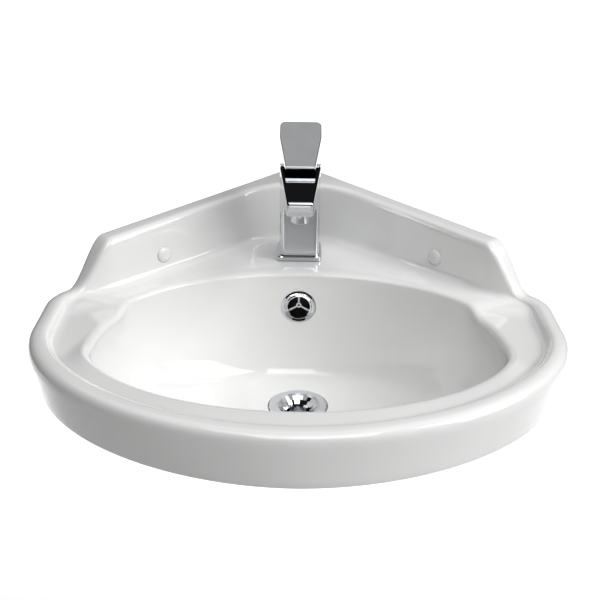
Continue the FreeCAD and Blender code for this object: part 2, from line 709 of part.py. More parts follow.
def make_screw_cap():
    """The domed cap over the screw head."""
    face = upstand_face_inset()
    low = face - SCREW_HEAD_HEIGHT
    inner = COLLAR_R - CAP_WALL
    skirt = face + CAP_SKIRT_PROUD
    top = face + CAP_PROUD
    dome = Part.Arc(Vector(COLLAR_R, 0, skirt), Vector(COLLAR_R * 0.78, 0, skirt + (top - skirt) * 0.68),
                    Vector(COLLAR_R * 0.4, 0, top))
    straight = [Vector(COLLAR_R * 0.4, 0, top), Vector(0, 0, top), Vector(0, 0, face + 2 * FACE_GAP),
                Vector(inner, 0, face + 2 * FACE_GAP), Vector(inner, 0, low), Vector(COLLAR_R, 0, low),
                Vector(COLLAR_R, 0, skirt)]
    edges = [dome.toShape()] + [Part.makeLine(p, q) for p, q in zip(straight, straight[1:])]
    cap = Part.Face(Part.Wire(edges)).revolve(Vector(0, 0, 0), Vector(0, 0, 1), 360)
    return placed(cap, *screw_axis())


# --- overflow trim --------------------------------------------------------------------------
def make_overflow_ring():
    """The bright trim ring and sleeve in the bowl's back wall."""
    low = -OVERFLOW_SEAT_SINK
    top = low + OVERFLOW_RING_PROUD
    sleeve_r = OVERFLOW_HOLE_R - THREAD_GAP
    return placed(turned([
        (OVERFLOW_BORE_R, low - OVERFLOW_SLEEVE_LENGTH), (sleeve_r, low - OVERFLOW_SLEEVE_LENGTH),
        (sleeve_r, low), (OVERFLOW_RING_R, low), (OVERFLOW_RING_R, top - 0.9),
        (OVERFLOW_RING_R - 1.6, top), (OVERFLOW_BORE_R + 2.2, top - 0.9),
        (OVERFLOW_BORE_R + 1.2, top), (OVERFLOW_BORE_R, top - 0.6),
    ], 0.0, 0.0), *overflow_frame())


def make_overflow_spider():
    """Three spokes and a drilled hub, set back inside the sleeve."""
    low = -OVERFLOW_SEAT_SINK - OVERFLOW_SPIDER_DEPTH
    top = low + OVERFLOW_SPIDER_THICKNESS
    spider = cylinder(OVERFLOW_HUB_R, Vector(0, 0, low), Vector(0, 0, top))
    for turn in (90.0, 210.0, 330.0):
        across = OVERFLOW_ARM_WIDTH / 2
        arm = plan_prism([(0, -across * 0.6), (OVERFLOW_BORE_R, -across), (OVERFLOW_BORE_R, across),
                          (0, across * 0.6)], low, top)
        arm.rotate(Vector(0, 0, 0), Vector(0, 0, 1), turn)
        spider = spider.fuse(arm)
    spider = spider.common(cylinder(OVERFLOW_BORE_R, Vector(0, 0, low - 1), Vector(0, 0, top + 1)))
    hub_hole = cylinder(OVERFLOW_HUB_HOLE_R, Vector(0, 0, low - 1), Vector(0, 0, top + 1))
    return placed(spider.cut(hub_hole).removeSplitter(), *overflow_frame())


# --- waste ----------------------------------------------------------------------------------
def make_waste_body():
    """The dished waste flange and its slotted tail."""
    top = DEEPEST + WASTE_FLANGE_PROUD
    lip = WASTE_FLANGE_R - WASTE_LIP_WIDTH
    drop = WASTE_DISH_DEPTH
    span = lip - WASTE_THROAT_R
    throat = top - drop - WASTE_THROAT_LENGTH
    inner = WASTE_TAIL_R - WASTE_TAIL_WALL
    end = FLANGE_SEAT - WASTE_TAIL_LENGTH
    groove = end + WASTE_PLAIN_END
    body = turned([
        (WASTE_FLANGE_R, FLANGE_SEAT), (WASTE_FLANGE_R, top - 1.0), (WASTE_FLANGE_R - 1.0, top),
        (lip, top), (lip - 0.25 * span, top - 0.1 * drop), (lip - 0.6 * span, top - 0.42 * drop),
        (lip - 0.88 * span, top - 0.8 * drop), (WASTE_THROAT_R, top - drop), (WASTE_THROAT_R, throat),
        (inner, throat), (inner, end), (WASTE_TAIL_R, end), (WASTE_TAIL_R, groove),
        (WASTE_TAIL_R - WASTE_GROOVE, groove), (WASTE_TAIL_R - WASTE_GROOVE, groove + 2 * WASTE_GROOVE),
        (WASTE_TAIL_R, groove + 2 * WASTE_GROOVE), (WASTE_TAIL_R, FLANGE_SEAT),
    ], 0.0, DRAIN_Y)
    slot_top = FLANGE_SEAT - WASTE_SLOT_TOP
    slot = Part.makeBox(4 * WASTE_TAIL_R, WASTE_SLOT_WIDTH, WASTE_SLOT_HEIGHT,
                        Vector(-2 * WASTE_TAIL_R, DRAIN_Y - WASTE_SLOT_WIDTH / 2, slot_top - WASTE_SLOT_HEIGHT))
    return body.cut(slot)


def make_waste_backnut():
    """The six-sided nut that pulls the waste down on its seals."""
    top = BOSS_BOTTOM - BOTTOM_SEAL_THICKNESS
    nut = hexagon(BACKNUT_FLATS, top - BACKNUT_HEIGHT, top, 0.0, DRAIN_Y)
    bore = cylinder(WASTE_TAIL_R + THREAD_GAP, Vector(0, DRAIN_Y, top - 99), Vector(0, DRAIN_Y, top + 9))
    return nut.cut(bore)


# --- tap ------------------------------------------------------------------------------------
def lever_relief():
    """What is taken off the tap's top so that the lifted lever can swing from side to side."""
    start = TAP_Y + TAP_RELIEF_START
    end = TAP_Y + TAP_BODY_SIZE
    drop = (end - start) * math.tan(math.radians(LEVER_LIFT + TAP_RELIEF_SLACK))
    reliefs = []
    for turn in (-1.0, -0.5, 0.0, 0.5, 1.0):
        relief = side_prism([(start, TAP_TOP), (end, TAP_TOP - drop), (end, TAP_TOP + 9), (start, TAP_TOP + 9)],
                            TAP_BODY_SIZE)
        relief.rotate(Vector(0, TAP_Y, 0), Vector(0, 0, 1), turn * LEVER_SWIVEL)
        reliefs.append(relief)
    return reliefs


def make_spout():
    """The tapering spout, before it joins the body."""
    root_y = TAP_Y - TAP_BODY_SIZE / 4
    half = TAP_BODY_SIZE / 2
    tip = SPOUT_TIP_WIDTH / 2
    flat_y = AERATOR_Y + AERATOR_SETBACK
    plan = plan_prism([(-half, root_y), (-half, TAP_FRONT_Y), (-tip, SPOUT_TIP_Y), (tip, SPOUT_TIP_Y),
                       (half, TAP_FRONT_Y), (half, root_y)], 0.0, TAP_TOP)
    slope = SPOUT_FALL / (TAP_FRONT_Y - SPOUT_TIP_Y)
    side = side_prism([
        (root_y, SPOUT_ROOT_TOP - SPOUT_ROOT_HEIGHT), (root_y, SPOUT_ROOT_TOP + slope * (root_y - TAP_FRONT_Y)),
        (SPOUT_TIP_Y, SPOUT_TIP_TOP), (SPOUT_TIP_Y, SPOUT_TIP_BOTTOM), (flat_y, SPOUT_TIP_BOTTOM),
        (TAP_FRONT_Y, SPOUT_ROOT_TOP - SPOUT_ROOT_HEIGHT),
    ], TAP_BODY_SIZE)
    spout = plan.common(side)
    outer = [e for e in spout.Edges if e.BoundBox.YMin < SPOUT_TIP_Y + 1 and e.BoundBox.ZMax > SPOUT_TIP_BOTTOM + 1]
    return spout.makeFillet(SPOUT_EDGE_ROUND, outer)


def make_water_ways():
    """Inlets, passages to the cartridge and the channel to the aerator."""
    foot = TAP_FOOT - TAP_SPIGOT_LENGTH
    cuts = []
    for side in (-1, 1):
        x = side * INLET_OFFSET_X
        y = TAP_Y + INLET_OFFSET_Y
        cuts.append(cylinder(INLET_THREAD_R, Vector(x, y, foot - 9), Vector(x, y, foot + INLET_DEPTH)))
        cuts.append(cylinder(WATERWAY_R, Vector(x, y, foot), Vector(x, y, SEAT + 1)))
    outlet_y = TAP_Y + OUTLET_OFFSET_Y
    sump = Vector(0, outlet_y, SEAT - OUTLET_SUMP)
    bend = Vector(0, outlet_y - SPOUT_CHANNEL_BEND, SEAT + SPOUT_CHANNEL_BEND_RISE)
    end = Vector(0, AERATOR_Y, SPOUT_TIP_BOTTOM + AERATOR_SPIGOT_LENGTH)
    cuts += [cylinder(WATERWAY_R, sump, Vector(0, outlet_y, SEAT + 1)), cylinder(WATERWAY_R, sump, bend),
             cylinder(WATERWAY_R, bend, end), Part.makeSphere(WATERWAY_R, sump), Part.makeSphere(WATERWAY_R, bend)]
    return cuts


def make_tap_body():
    """The square tap body with its spout, cartridge bore and water ways."""
    block = rounded_block(TAP_BODY_SIZE, TAP_BODY_SIZE, TAP_BODY_ROUND, TAP_FOOT, TAP_TOP, 0.0, TAP_Y)
    foot = TAP_FOOT - TAP_SPIGOT_LENGTH
    spigot = cylinder(TAP_SPIGOT_R, Vector(0, TAP_Y, foot), Vector(0, TAP_Y, TAP_FOOT))
    body = block.fuse([spigot, make_spout()])
    stud_y = TAP_Y + STUD_OFFSET_Y
    socket_top = SPOUT_TIP_BOTTOM + AERATOR_SPIGOT_LENGTH + AERATOR_WASHER
    cuts = lever_relief() + [
        cylinder(CARTRIDGE_BORE_R, Vector(0, TAP_Y, SEAT), Vector(0, TAP_Y, TAP_TOP + 9)),
        cylinder(STUD_R, Vector(0, stud_y, foot - 9), Vector(0, stud_y, foot + STUD_IN_BODY)),
        cylinder(AERATOR_SPIGOT_R + THREAD_GAP, Vector(0, AERATOR_Y, SPOUT_TIP_BOTTOM - 9),
                 Vector(0, AERATOR_Y, socket_top)),
    ]
    return body.cut(cuts + make_water_ways()).removeSplitter()


def make_base_plate():
    """The bright square plate between tap and deck."""
    plate = rounded_block(BASE_PLATE_SIZE, BASE_PLATE_SIZE, BASE_PLATE_ROUND, GASKET_THICKNESS, TAP_FOOT, 0.0, TAP_Y)
    rim = [e for e in plate.Edges if e.BoundBox.ZMin > TAP_FOOT - 0.01]
    plate = plate.makeChamfer(BASE_PLATE_EDGE, rim)
    bore = cylinder(TAP_SPIGOT_R + THREAD_GAP, Vector(0, TAP_Y, -9), Vector(0, TAP_Y, TAP_FOOT + 9))
    return plate.cut(bore)


def make_base_gasket():
    """The soft gasket below the base plate."""
    size = BASE_PLATE_SIZE - 2 * GASKET_INSET
    pad = rounded_block(size, size, BASE_PLATE_ROUND, 0.0, GASKET_THICKNESS, 0.0, TAP_Y)
    return pad.cut(cylinder(TAP_SPIGOT_R + THREAD_GAP, Vector(0, TAP_Y, -9), Vector(0, TAP_Y, 9)))


def make_aerator_housing():
    """The bright ring screwed into the spout's underside."""
    low = SPOUT_TIP_BOTTOM - AERATOR_DROP
    return turned([
        (AERATOR_BORE_R - AERATOR_LIP, low), (AERATOR_R - 0.6, low), (AERATOR_R, low + 0.6),
        (AERATOR_R, SPOUT_TIP_BOTTOM), (AERATOR_SPIGOT_R, SPOUT_TIP_BOTTOM),
        (AERATOR_SPIGOT_R, SPOUT_TIP_BOTTOM + AERATOR_SPIGOT_LENGTH),
        (AERATOR_BORE_R, SPOUT_TIP_BOTTOM + AERATOR_SPIGOT_LENGTH), (AERATOR_BORE_R, low + AERATOR_LIP_HEIGHT),
        (AERATOR_BORE_R - AERATOR_LIP, low + AERATOR_LIP_HEIGHT),
    ], 0.0, AERATOR_Y)


def make_aerator_insert():
    """The plastic insert that breaks up the stream."""
    low = SPOUT_TIP_BOTTOM - AERATOR_DROP + AERATOR_LIP_HEIGHT
    outer = AERATOR_BORE_R - THREAD_GAP / 2
    tube = ring(outer, outer - AERATOR_INSERT_WALL, low, low + AERATOR_INSERT_HEIGHT, 0.0, AERATOR_Y)
    for turn in (0.0, 60.0, 120.0):
        slat = Part.makeBox(2 * outer - AERATOR_INSERT_WALL, AERATOR_SLAT, AERATOR_INSERT_HEIGHT / 2,
                            Vector(-outer + AERATOR_INSERT_WALL / 2, -AERATOR_SLAT / 2, low))
        slat.rotate(Vector(0, 0, 0), Vector(0, 0, 1), turn)
        slat.translate(Vector(0, AERATOR_Y, 0))
        tube = tube.fuse(slat)
    return tube.removeSplitter()


# --- lever ----------------------------------------------------------------------------------
def leaned(shape):
    """A piece modelled upright on the lever's pivot, leaned forward to the closed position."""
    moved = shape.copy()
    moved.rotate(Vector(0, TAP_Y, PIVOT), Vector(1, 0, 0), STEM_LEAN)
    return moved


def stem_box(size, bottom, top):
    """A square bar on the stem's line, between two heights above the pivot."""
    corner = Vector(-size / 2, TAP_Y - size / 2, PIVOT + bottom)
    return Part.makeBox(size, size, top - bottom, corner)


def lever_bar(radius, start, end):
    """A bar along the grub screw's line, between two distances behind the stem."""
    z = PIVOT + GRUB_HEIGHT
    return leaned(cylinder(radius, Vector(0, TAP_Y + start, z), Vector(0, TAP_Y + end, z)))


def make_lever():
    """The wedge-shaped lever with its hollow and square socket."""
    back = TAP_Y + LEVER_BACK
    tip = TAP_Y - LEVER_REACH
    half = LEVER_WIDTH / 2
    nose = LEVER_TIP_WIDTH / 2
    plan = plan_prism([(-half, back), (-half, TAP_Y), (-nose, tip), (nose, tip), (half, TAP_Y), (half, back)],
                      LEVER_BOTTOM - 5, LEVER_BACK_TOP + 5)
    corners = [e for e in plan.Edges if e.BoundBox.YMin > back - 0.01 and e.BoundBox.ZLength > 1]
    plan = plan.makeFillet(LEVER_BACK_ROUND, corners)
    side = side_prism([
        (back, LEVER_BOTTOM), (back, LEVER_BACK_TOP), (tip, LEVER_TIP_TOP),
        (tip + LEVER_TIP_UNDERCUT, LEVER_BOTTOM),
    ], LEVER_WIDTH)
    wedge = plan.common(side)
    slanted = [e for e in wedge.Edges if e.BoundBox.ZMin > LEVER_TIP_TOP - 0.1]
    wedge = wedge.makeFillet(LEVER_EDGE_ROUND, slanted)
    ceiling = LEVER_BOTTOM + LEVER_CAVITY_HEIGHT
    cavity = cylinder(LEVER_CAVITY_R, Vector(0, TAP_Y, LEVER_BOTTOM - 5), Vector(0, TAP_Y, ceiling))
    socket = leaned(stem_box(STEM_SIZE + 2 * LEVER_SOCKET_WALL, LEVER_SOCKET_START, STEM_ABOVE_PIVOT + 5))
    shell = wedge.cut(cavity).fuse(socket.common(wedge))
    depth = LEVER_BACK - PLUG_LENGTH
    holes = [leaned(stem_box(STEM_SIZE, 0, STEM_ABOVE_PIVOT)), lever_bar(GRUB_R, 0, LEVER_BACK * 2),
             lever_bar(PLUG_R, depth, LEVER_BACK * 2)]
    return shell.cut(holes).removeSplitter()


def make_index_plug():
    """The plug over the grub screw's hole in the lever's back."""
    depth = LEVER_BACK - PLUG_LENGTH
    beyond = side_prism([(TAP_Y - 99, PIVOT), (TAP_Y + LEVER_BACK, PIVOT), (TAP_Y + LEVER_BACK, PIVOT + 99),
                         (TAP_Y - 99, PIVOT + 99)], LEVER_WIDTH)
    return lever_bar(PLUG_R, depth, LEVER_BACK * 2).common(beyond)


# --- cartridge ------------------------------------------------------------------------------
def ports(radius, bottom, top):
    """Three upright bars through the two inlets and the outlet."""
    places = [(-INLET_OFFSET_X, INLET_OFFSET_Y), (INLET_OFFSET_X, INLET_OFFSET_Y), (0.0, OUTLET_OFFSET_Y)]
    return [cylinder(radius, Vector(x, TAP_Y + y, bottom), Vector(x, TAP_Y + y, top)) for x, y in places]


def make_cartridge_base():
    """The cartridge's foot with its three sealed ports."""
    foot = cylinder(CARTRIDGE_R, Vector(0, TAP_Y, SEAT), Vector(0, TAP_Y, BASE_TOP))
    return foot.cut(ports(WATERWAY_R, SEAT - 1, BASE_TOP + 1) + ports(PORT_SEAL_R, SEAT - 1, SEAT + PORT_SEAL_THICKNESS))


def make_port_seals():
    """The three seals between cartridge and tap body."""
    outer = ports(PORT_SEAL_R, SEAT, SEAT + PORT_SEAL_THICKNESS)
    inner = ports(WATERWAY_R, SEAT - 1, SEAT + PORT_SEAL_THICKNESS + 1)
    return Part.makeCompound([seal.cut(hole) for seal, hole in zip(outer, inner)])


def make_fixed_disc():
    """The ceramic disc that stays still on the cartridge foot."""
    disc = cylinder(FIXED_DISC_R, Vector(0, TAP_Y, BASE_TOP), Vector(0, TAP_Y, FIXED_DISC_TOP))
    return disc.cut(ports(WATERWAY_R, BASE_TOP - 1, FIXED_DISC_TOP + 1))


def make_moving_disc():
    """The ceramic disc that the stem's ball slides and turns."""
    y = TAP_Y + BALL_SHIFT
    disc = cylinder(MOVING_DISC_R, Vector(0, y, FIXED_DISC_TOP + FACE_GAP / 2), Vector(0, y, MOVING_DISC_TOP))
    grip = 2 * (BALL_R + BALL_GAP)
    floor = PIVOT - STEM_ARM - BALL_R - BALL_GAP
    pocket = Part.makeBox(grip, grip, MOVING_DISC_TOP - floor + 1, Vector(-grip / 2, y - grip / 2, floor))
    room = MOVING_DISC_R - grip / 2
    under = Part.makeBox(grip, room / 2, DISC_POCKET_DEPTH + 1,
                         Vector(-grip / 2, y - grip / 2 - 0.7 * room, FIXED_DISC_TOP - 1))
    return disc.cut([pocket, under])


def make_carrier():
    """The swivelling carrier that holds the stem's pivot."""
    top = PIVOT + CARRIER_ABOVE_PIVOT
    carrier = turned([(0, CARRIER_BOTTOM), (CARRIER_R, CARRIER_BOTTOM), (CARRIER_R, CARRIER_SHOULDER),
                      (CARRIER_NECK_R, CARRIER_SHOULDER), (CARRIER_NECK_R, top), (0, top)], 0.0, TAP_Y)
    half = STEM_SIZE / 2 + CARRIER_ABOVE_PIVOT * math.tan(math.radians(STEM_LEAN)) + 4 * STEM_SIDE_GAP
    width = STEM_SIZE + 2 * STEM_SIDE_GAP
    slot = Part.makeBox(width, 2 * half, top - CARRIER_BOTTOM + 2, Vector(-width / 2, TAP_Y - half, CARRIER_BOTTOM - 1))
    pin_hole = cylinder(PIVOT_PIN_R, Vector(-CARRIER_R, TAP_Y, PIVOT), Vector(CARRIER_R, TAP_Y, PIVOT))
    return carrier.cut([slot, pin_hole])


def make_stem():
    """The square stem with its pivot hole and ball end."""
    ball_z = PIVOT - STEM_ARM
    bar = stem_box(STEM_SIZE, -STEM_SQUARE_BELOW_PIVOT, STEM_ABOVE_PIVOT)
    neck = cylinder(STEM_NECK_R, Vector(0, TAP_Y, ball_z), Vector(0, TAP_Y, PIVOT - STEM_SQUARE_BELOW_PIVOT))
    ball = Part.makeSphere(BALL_R, Vector(0, TAP_Y, ball_z))
    hole = cylinder(PIVOT_PIN_R + PIVOT_PIN_CLEARANCE, Vector(-STEM_SIZE, TAP_Y, PIVOT), Vector(STEM_SIZE, TAP_Y, PIVOT))
    return leaned(bar.fuse([neck, ball]).cut(hole).removeSplitter())


def make_housing():
    """The cartridge housing with its shoulder and neck."""
    neck_top = SHOULDER + HOUSING_NECK_HEIGHT
    bore = CARRIER_R + RUNNING_GAP
    throat = CARRIER_NECK_R + RUNNING_GAP
    step = CARRIER_SHOULDER + FACE_GAP
    return turned([
        (bore, BASE_TOP), (CARTRIDGE_R, BASE_TOP), (CARTRIDGE_R, SHOULDER), (HOUSING_NECK_R, SHOULDER),
        (HOUSING_NECK_R, neck_top), (throat, neck_top), (throat, step), (bore, step),
    ], 0.0, TAP_Y)


def make_cartridge_nut():
    """The slotted ring nut that clamps the cartridge."""
    nut = ring(CARTRIDGE_BORE_R, HOUSING_NECK_R + THREAD_GAP, SHOULDER, NUT_TOP, 0.0, TAP_Y)
    for turn in (0.0, 90.0):
        slot = Part.makeBox(4 * CARTRIDGE_R, NUT_SLOT, NUT_HEIGHT, Vector(-2 * CARTRIDGE_R, -NUT_SLOT / 2, NUT_HEIGHT / 2))
        slot.rotate(Vector(0, 0, 0), Vector(0, 0, 1), turn)
        slot.translate(Vector(0, TAP_Y, SHOULDER))
        nut = nut.cut(slot)
    return nut


def make_cartridge_cover():
    """The bright domed ring over the nut."""
    top = NUT_TOP + COVER_HEIGHT
    outer = CARTRIDGE_BORE_R
    inner = outer - COVER_THICKNESS
    middle = (outer + COVER_BORE_R) / 2
    return turned([
        (inner, NUT_TOP), (outer, NUT_TOP), (outer, NUT_TOP + 0.3 * COVER_HEIGHT),
        (middle, top - 0.15 * COVER_HEIGHT), (COVER_BORE_R, top), (COVER_BORE_R, top - COVER_THICKNESS),
        (middle - 0.4, top - 0.15 * COVER_HEIGHT - COVER_THICKNESS), (inner, NUT_TOP + 0.25 * COVER_HEIGHT),
    ], 0.0, TAP_Y)


# --- tap fixing -----------------------------------------------------------------------------
def make_horseshoe(bottom, top):
    """A washer with a side slot that lets the supply tails pass."""
    washer = cylinder(HORSESHOE_R, Vector(0, TAP_Y, bottom), Vector(0, TAP_Y, top))
    slot_front = TAP_Y + STUD_OFFSET_Y + STUD_R + 2.0
    slot = Part.makeBox(HORSESHOE_SLOT, 2 * HORSESHOE_R, top - bottom + 2,
                        Vector(-HORSESHOE_SLOT / 2, slot_front, bottom - 1))
    stud_y = TAP_Y + STUD_OFFSET_Y
    hole = cylinder(STUD_R + THREAD_GAP, Vector(0, stud_y, bottom - 1), Vector(0, stud_y, top + 1))
    return washer.cut([slot, hole])


def make_fixing_nut():
    """The long nut on the fixing stud."""
    top = -DECK_THICKNESS - HORSESHOE_RUBBER - HORSESHOE_PLATE
    y = TAP_Y + STUD_OFFSET_Y
    nut = hexagon(FIXING_NUT_FLATS, top - FIXING_NUT_HEIGHT, top, 0.0, y)
    return nut.cut(cylinder(STUD_R + THREAD_GAP, Vector(0, y, top - 99), Vector(0, y, top + 9)))


def make_fixing_stud():
    """The threaded stud that holds the tap down."""
    y = TAP_Y + STUD_OFFSET_Y
    start = TAP_FOOT - TAP_SPIGOT_LENGTH + STUD_IN_BODY
    return cylinder(STUD_R, Vector(0, y, -DECK_THICKNESS - STUD_BELOW_DECK), Vector(0, y, start))


def all_pieces():
    """Every separate piece under the name of its node."""
    under = -DECK_THICKNESS
    rubber = under - HORSESHOE_RUBBER
    seal_top = FLANGE_SEAT - TOP_SEAL_THICKNESS
    insert_top = SPOUT_TIP_BOTTOM + AERATOR_SPIGOT_LENGTH
    boss_seal = BOSS_BOTTOM - BOTTOM_SEAL_THICKNESS
    screw, collar, cap = make_wall_screw(), make_screw_collar(), make_screw_cap()
    pin_half = math.sqrt(CARRIER_NECK_R ** 2 - PIVOT_PIN_R ** 2)
    return {
        "basin": make_basin(),
        "wall_screw_right": screw, "wall_screw_left": mirrored(screw),
        "screw_collar_right": collar, "screw_collar_left": mirrored(collar),
        "screw_cap_right": cap, "screw_cap_left": mirrored(cap),
        "overflow_ring": make_overflow_ring(),
        "overflow_spider": make_overflow_spider(),
        "waste_body": make_waste_body(),
        "waste_top_seal": ring(WASTE_FLANGE_R - 1, WASTE_TAIL_R + THREAD_GAP, seal_top, FLANGE_SEAT, 0, DRAIN_Y),
        "waste_bottom_seal": ring(BOTTOM_SEAL_R, WASTE_TAIL_R + THREAD_GAP, boss_seal, BOSS_BOTTOM, 0, DRAIN_Y),
        "waste_backnut": make_waste_backnut(),
        "tap_body": make_tap_body(),
        "tap_base_plate": make_base_plate(),
        "tap_base_gasket": make_base_gasket(),
        "aerator_housing": make_aerator_housing(),
        "aerator_insert": make_aerator_insert(),
        "aerator_washer": ring(AERATOR_SPIGOT_R, AERATOR_WASHER_BORE_R, insert_top, insert_top + AERATOR_WASHER,
                               0, AERATOR_Y),
        "tap_lever": make_lever(),
        "lever_grub_screw": lever_bar(GRUB_R, STEM_SIZE / 2, STEM_SIZE / 2 + LEVER_SOCKET_WALL),
        "lever_index_plug": make_index_plug(),
        "cartridge_housing": make_housing(),
        "cartridge_base": make_cartridge_base(),
        "cartridge_port_seals": make_port_seals(),
        "fixed_disc": make_fixed_disc(),
        "moving_disc": make_moving_disc(),
        "cartridge_carrier": make_carrier(),
        "cartridge_stem": make_stem(),
        "stem_pivot_pin": cylinder(PIVOT_PIN_R, Vector(-pin_half, TAP_Y, PIVOT), Vector(pin_half, TAP_Y, PIVOT)),
        "cartridge_nut": make_cartridge_nut(),
        "cartridge_cover": make_cartridge_cover(),
        "fixing_stud": make_fixing_stud(),
        "horseshoe_rubber": make_horseshoe(rubber, under),
        "horseshoe_plate": make_horseshoe(rubber - HORSESHOE_PLATE, rubber),
        "fixing_nut": make_fixing_nut(),
    }


os.makedirs("parts", exist_ok=True)
for name, piece in all_pieces().items():
    piece.exportStep(f"parts/{name}.step")
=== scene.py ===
import json
import math

import bmesh
import bpy
from mathutils import Matrix, Vector

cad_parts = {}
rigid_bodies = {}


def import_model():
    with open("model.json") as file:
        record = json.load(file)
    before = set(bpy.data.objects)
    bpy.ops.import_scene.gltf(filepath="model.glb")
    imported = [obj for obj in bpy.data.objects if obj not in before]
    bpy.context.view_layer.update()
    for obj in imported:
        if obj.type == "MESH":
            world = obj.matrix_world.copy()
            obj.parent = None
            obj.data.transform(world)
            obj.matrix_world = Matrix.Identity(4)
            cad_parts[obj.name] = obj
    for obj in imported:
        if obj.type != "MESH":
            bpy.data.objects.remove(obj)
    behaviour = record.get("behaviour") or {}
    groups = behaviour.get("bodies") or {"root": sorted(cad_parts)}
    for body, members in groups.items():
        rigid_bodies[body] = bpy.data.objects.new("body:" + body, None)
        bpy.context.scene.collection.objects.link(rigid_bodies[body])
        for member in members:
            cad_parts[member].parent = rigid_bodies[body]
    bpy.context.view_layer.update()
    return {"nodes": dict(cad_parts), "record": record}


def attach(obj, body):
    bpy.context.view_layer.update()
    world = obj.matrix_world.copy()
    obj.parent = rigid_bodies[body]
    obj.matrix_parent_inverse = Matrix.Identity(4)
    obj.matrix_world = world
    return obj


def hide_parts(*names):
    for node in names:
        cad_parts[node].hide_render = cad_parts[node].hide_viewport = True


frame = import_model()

bl_info = {
    "name": "Corner basin with mixer tap",
    "version": (1, 0, 0),
    "blender": (4, 5, 0),
    "location": "View3D > Sidebar > Basin",
    "description": "Glazed corner basin, its trim and its single-lever tap, built around the packed solids",
    "category": "Object",
}

MM = 0.001
ROOT2 = math.sqrt(2.0)
BODY = "basin_and_tap"

# Outline of the ceramic, in millimetres.
REACH = 523.0
HALF_WIDTH = 260.0
WIDEST_Y = -333.0
FULLNESS = 1.92
WING_R = 50.0
CORNER_CUT = 12.0
APRON_DEPTH = 50.0
APRON_FRONT_INSET = 1.0
APRON_SIDE_INSET = 7.5
APRON_WALL = 11.0
DECK_UNDER = -14.0

# Rim bead and upstand.
RIM_FRONT = 1.5
RIM_WING = 4.5
RIM_OUTER_ROUND = 10.0
RIM_TOP = 16.5
RIM_INNER_ROUND = 5.0
RIM_FOOT = 18.5
UPSTAND_CORNER = 66.0
UPSTAND_END = 53.0
UPSTAND_LENGTH = 297.0
UPSTAND_FOOT = 30.0
UPSTAND_TOP = 23.0
UPSTAND_OUTER_ROUND = 5.0
UPSTAND_INNER_ROUND = 8.0
INNER_CORNER_R = 85.0
SWEEP_LENGTH = 50.0
FOOT_FILLET = 9.0
RIM_FILLET = 5.0
WING_OUTER_ROUND = 12.5
WING_TOP = 18.0
WING_FOOT = 23.0
WING_FILLET = 8.0

# Bowl.
BOWL_HALF_WIDTH = 202.0
BOWL_WIDEST_Y = -345.0
BOWL_BACK_Y = -187.0
BOWL_FRONT_Y = -477.0
BOWL_DEPTH = 125.0
BOWL_WALL = 10.0
EDGE_DROP = 5.0
DRAIN_Y = -262.0
DRAIN_FLAT_R = 38.0
BOSS_R = 38.0
BOSS_BOTTOM = -165.0
DRAIN_HOLE_R = 23.0
FLANGE_SEAT = -130.0

# Overflow and its duct behind the bowl.
OVERFLOW_DEPTH = 42.5
OVERFLOW_HOLE_R = 14.0
OVERFLOW_SEAT_R = 19.4
OVERFLOW_SEAT_SINK = 1.0
DUCT_HALF_WIDTH = 17.0
DUCT_WALL = 6.0
DUCT_GAP = 12.0

# Hollow back of the upstand, wall screws and tap hole.
RECESS_DEPTH = 12.0
RECESS_START = 62.0
RECESS_END = 286.0
RECESS_LIP = 14.0
SCREW_BOSS_R = 21.0
SCREW_ALONG = 236.985
SCREW_HEIGHT = 19.0
SCREW_HOLE_R = 5.85
SCREW_POCKET_R = 9.0
SCREW_POCKET_START = 18.66
TAP_Y = -133.0
TAP_HOLE_R = 17.5

# Soap trays.
TRAY_DEPTH = 5.0
TRAY_BACK_Y = -258.0
TRAY_BACK_X = 202.0
TRAY_BACK_BOW = 0.009
TRAY_SHIFT = 6.5
TRAY_BACK_START = -5.0
TRAY_BACK_RUN = 34.0
TRAY_CREASE_SIDE = 184.0
TRAY_CREASE_FRONT = 207.0
TRAY_CREASE_ANGLE = 7.0
TRAY_CREASE_TURN = 22.0
TRAY_LAND_START = -12.0
TRAY_LAND_RUN = 34.0
TRAY_END_ANGLE = -6.0
TRAY_END_TURN = 26.0
TRAY_INNER_X = 95.0
TRAY_INNER_RUN = 60.0

# Stage, in metres, watts and degrees, with the lens in millimetres. A light has its name, its place, what
# it faces, its size and its power.
FLOOR_Z = -0.82
LENS = 59.96
CAMERA_TARGET = (0.00102, -0.259, -0.00069)
CAMERA_DISTANCE = 1.037
CAMERA_ELEVATION = 24.93
CAMERA_YAW = 0.19
CAMERA_ROLL = 0.73
LIGHTS = (
    ("key_right", (1.7, -0.9, 1.1), (0, -0.3, 0), (1.2, 1.6), 32),
    ("key_high", (2.0, -0.2, 1.7), (0, -0.3, 0), (1.6, 1.6), 6),
    ("fill_front", (0.2, -1.9, 2.0), (0, -0.3, 0), (1.6, 1.2), 20),
    ("high_front", (0.0, -1.3, 2.7), (0, -0.3, 0), (2.2, 1.4), 16),
    ("overhead", (0.0, 0.2, 2.7), (0, -0.2, 0), (4.2, 3.2), 21),
    ("front_patch", (0.0, -2.6, -0.62), (0, -2.6, FLOOR_Z), (0.5, 1.2), 2.5),
    ("floor_light", (0.0, 4.9, -0.3), (0, 4.9, FLOOR_Z), (6.4, 9.3), 232),
)

FRONT_COLUMNS = 64
SIDE_COLUMNS = 8
WING_COLUMNS = 12
SWEEP_COLUMNS = 24
WALL_COLUMNS = 32
CORNER_COLUMNS = 30


# --- small helpers -------------------------------------------------------------------------
def ease(value):
    """An even S-shaped step from 0 to 1."""
    value = min(max(value, 0.0), 1.0)
    return value * value * (3.0 - 2.0 * value)


def settings():
    return bpy.context.scene.basin_settings


def lerp(a, b, share):
    return a + (b - a) * share


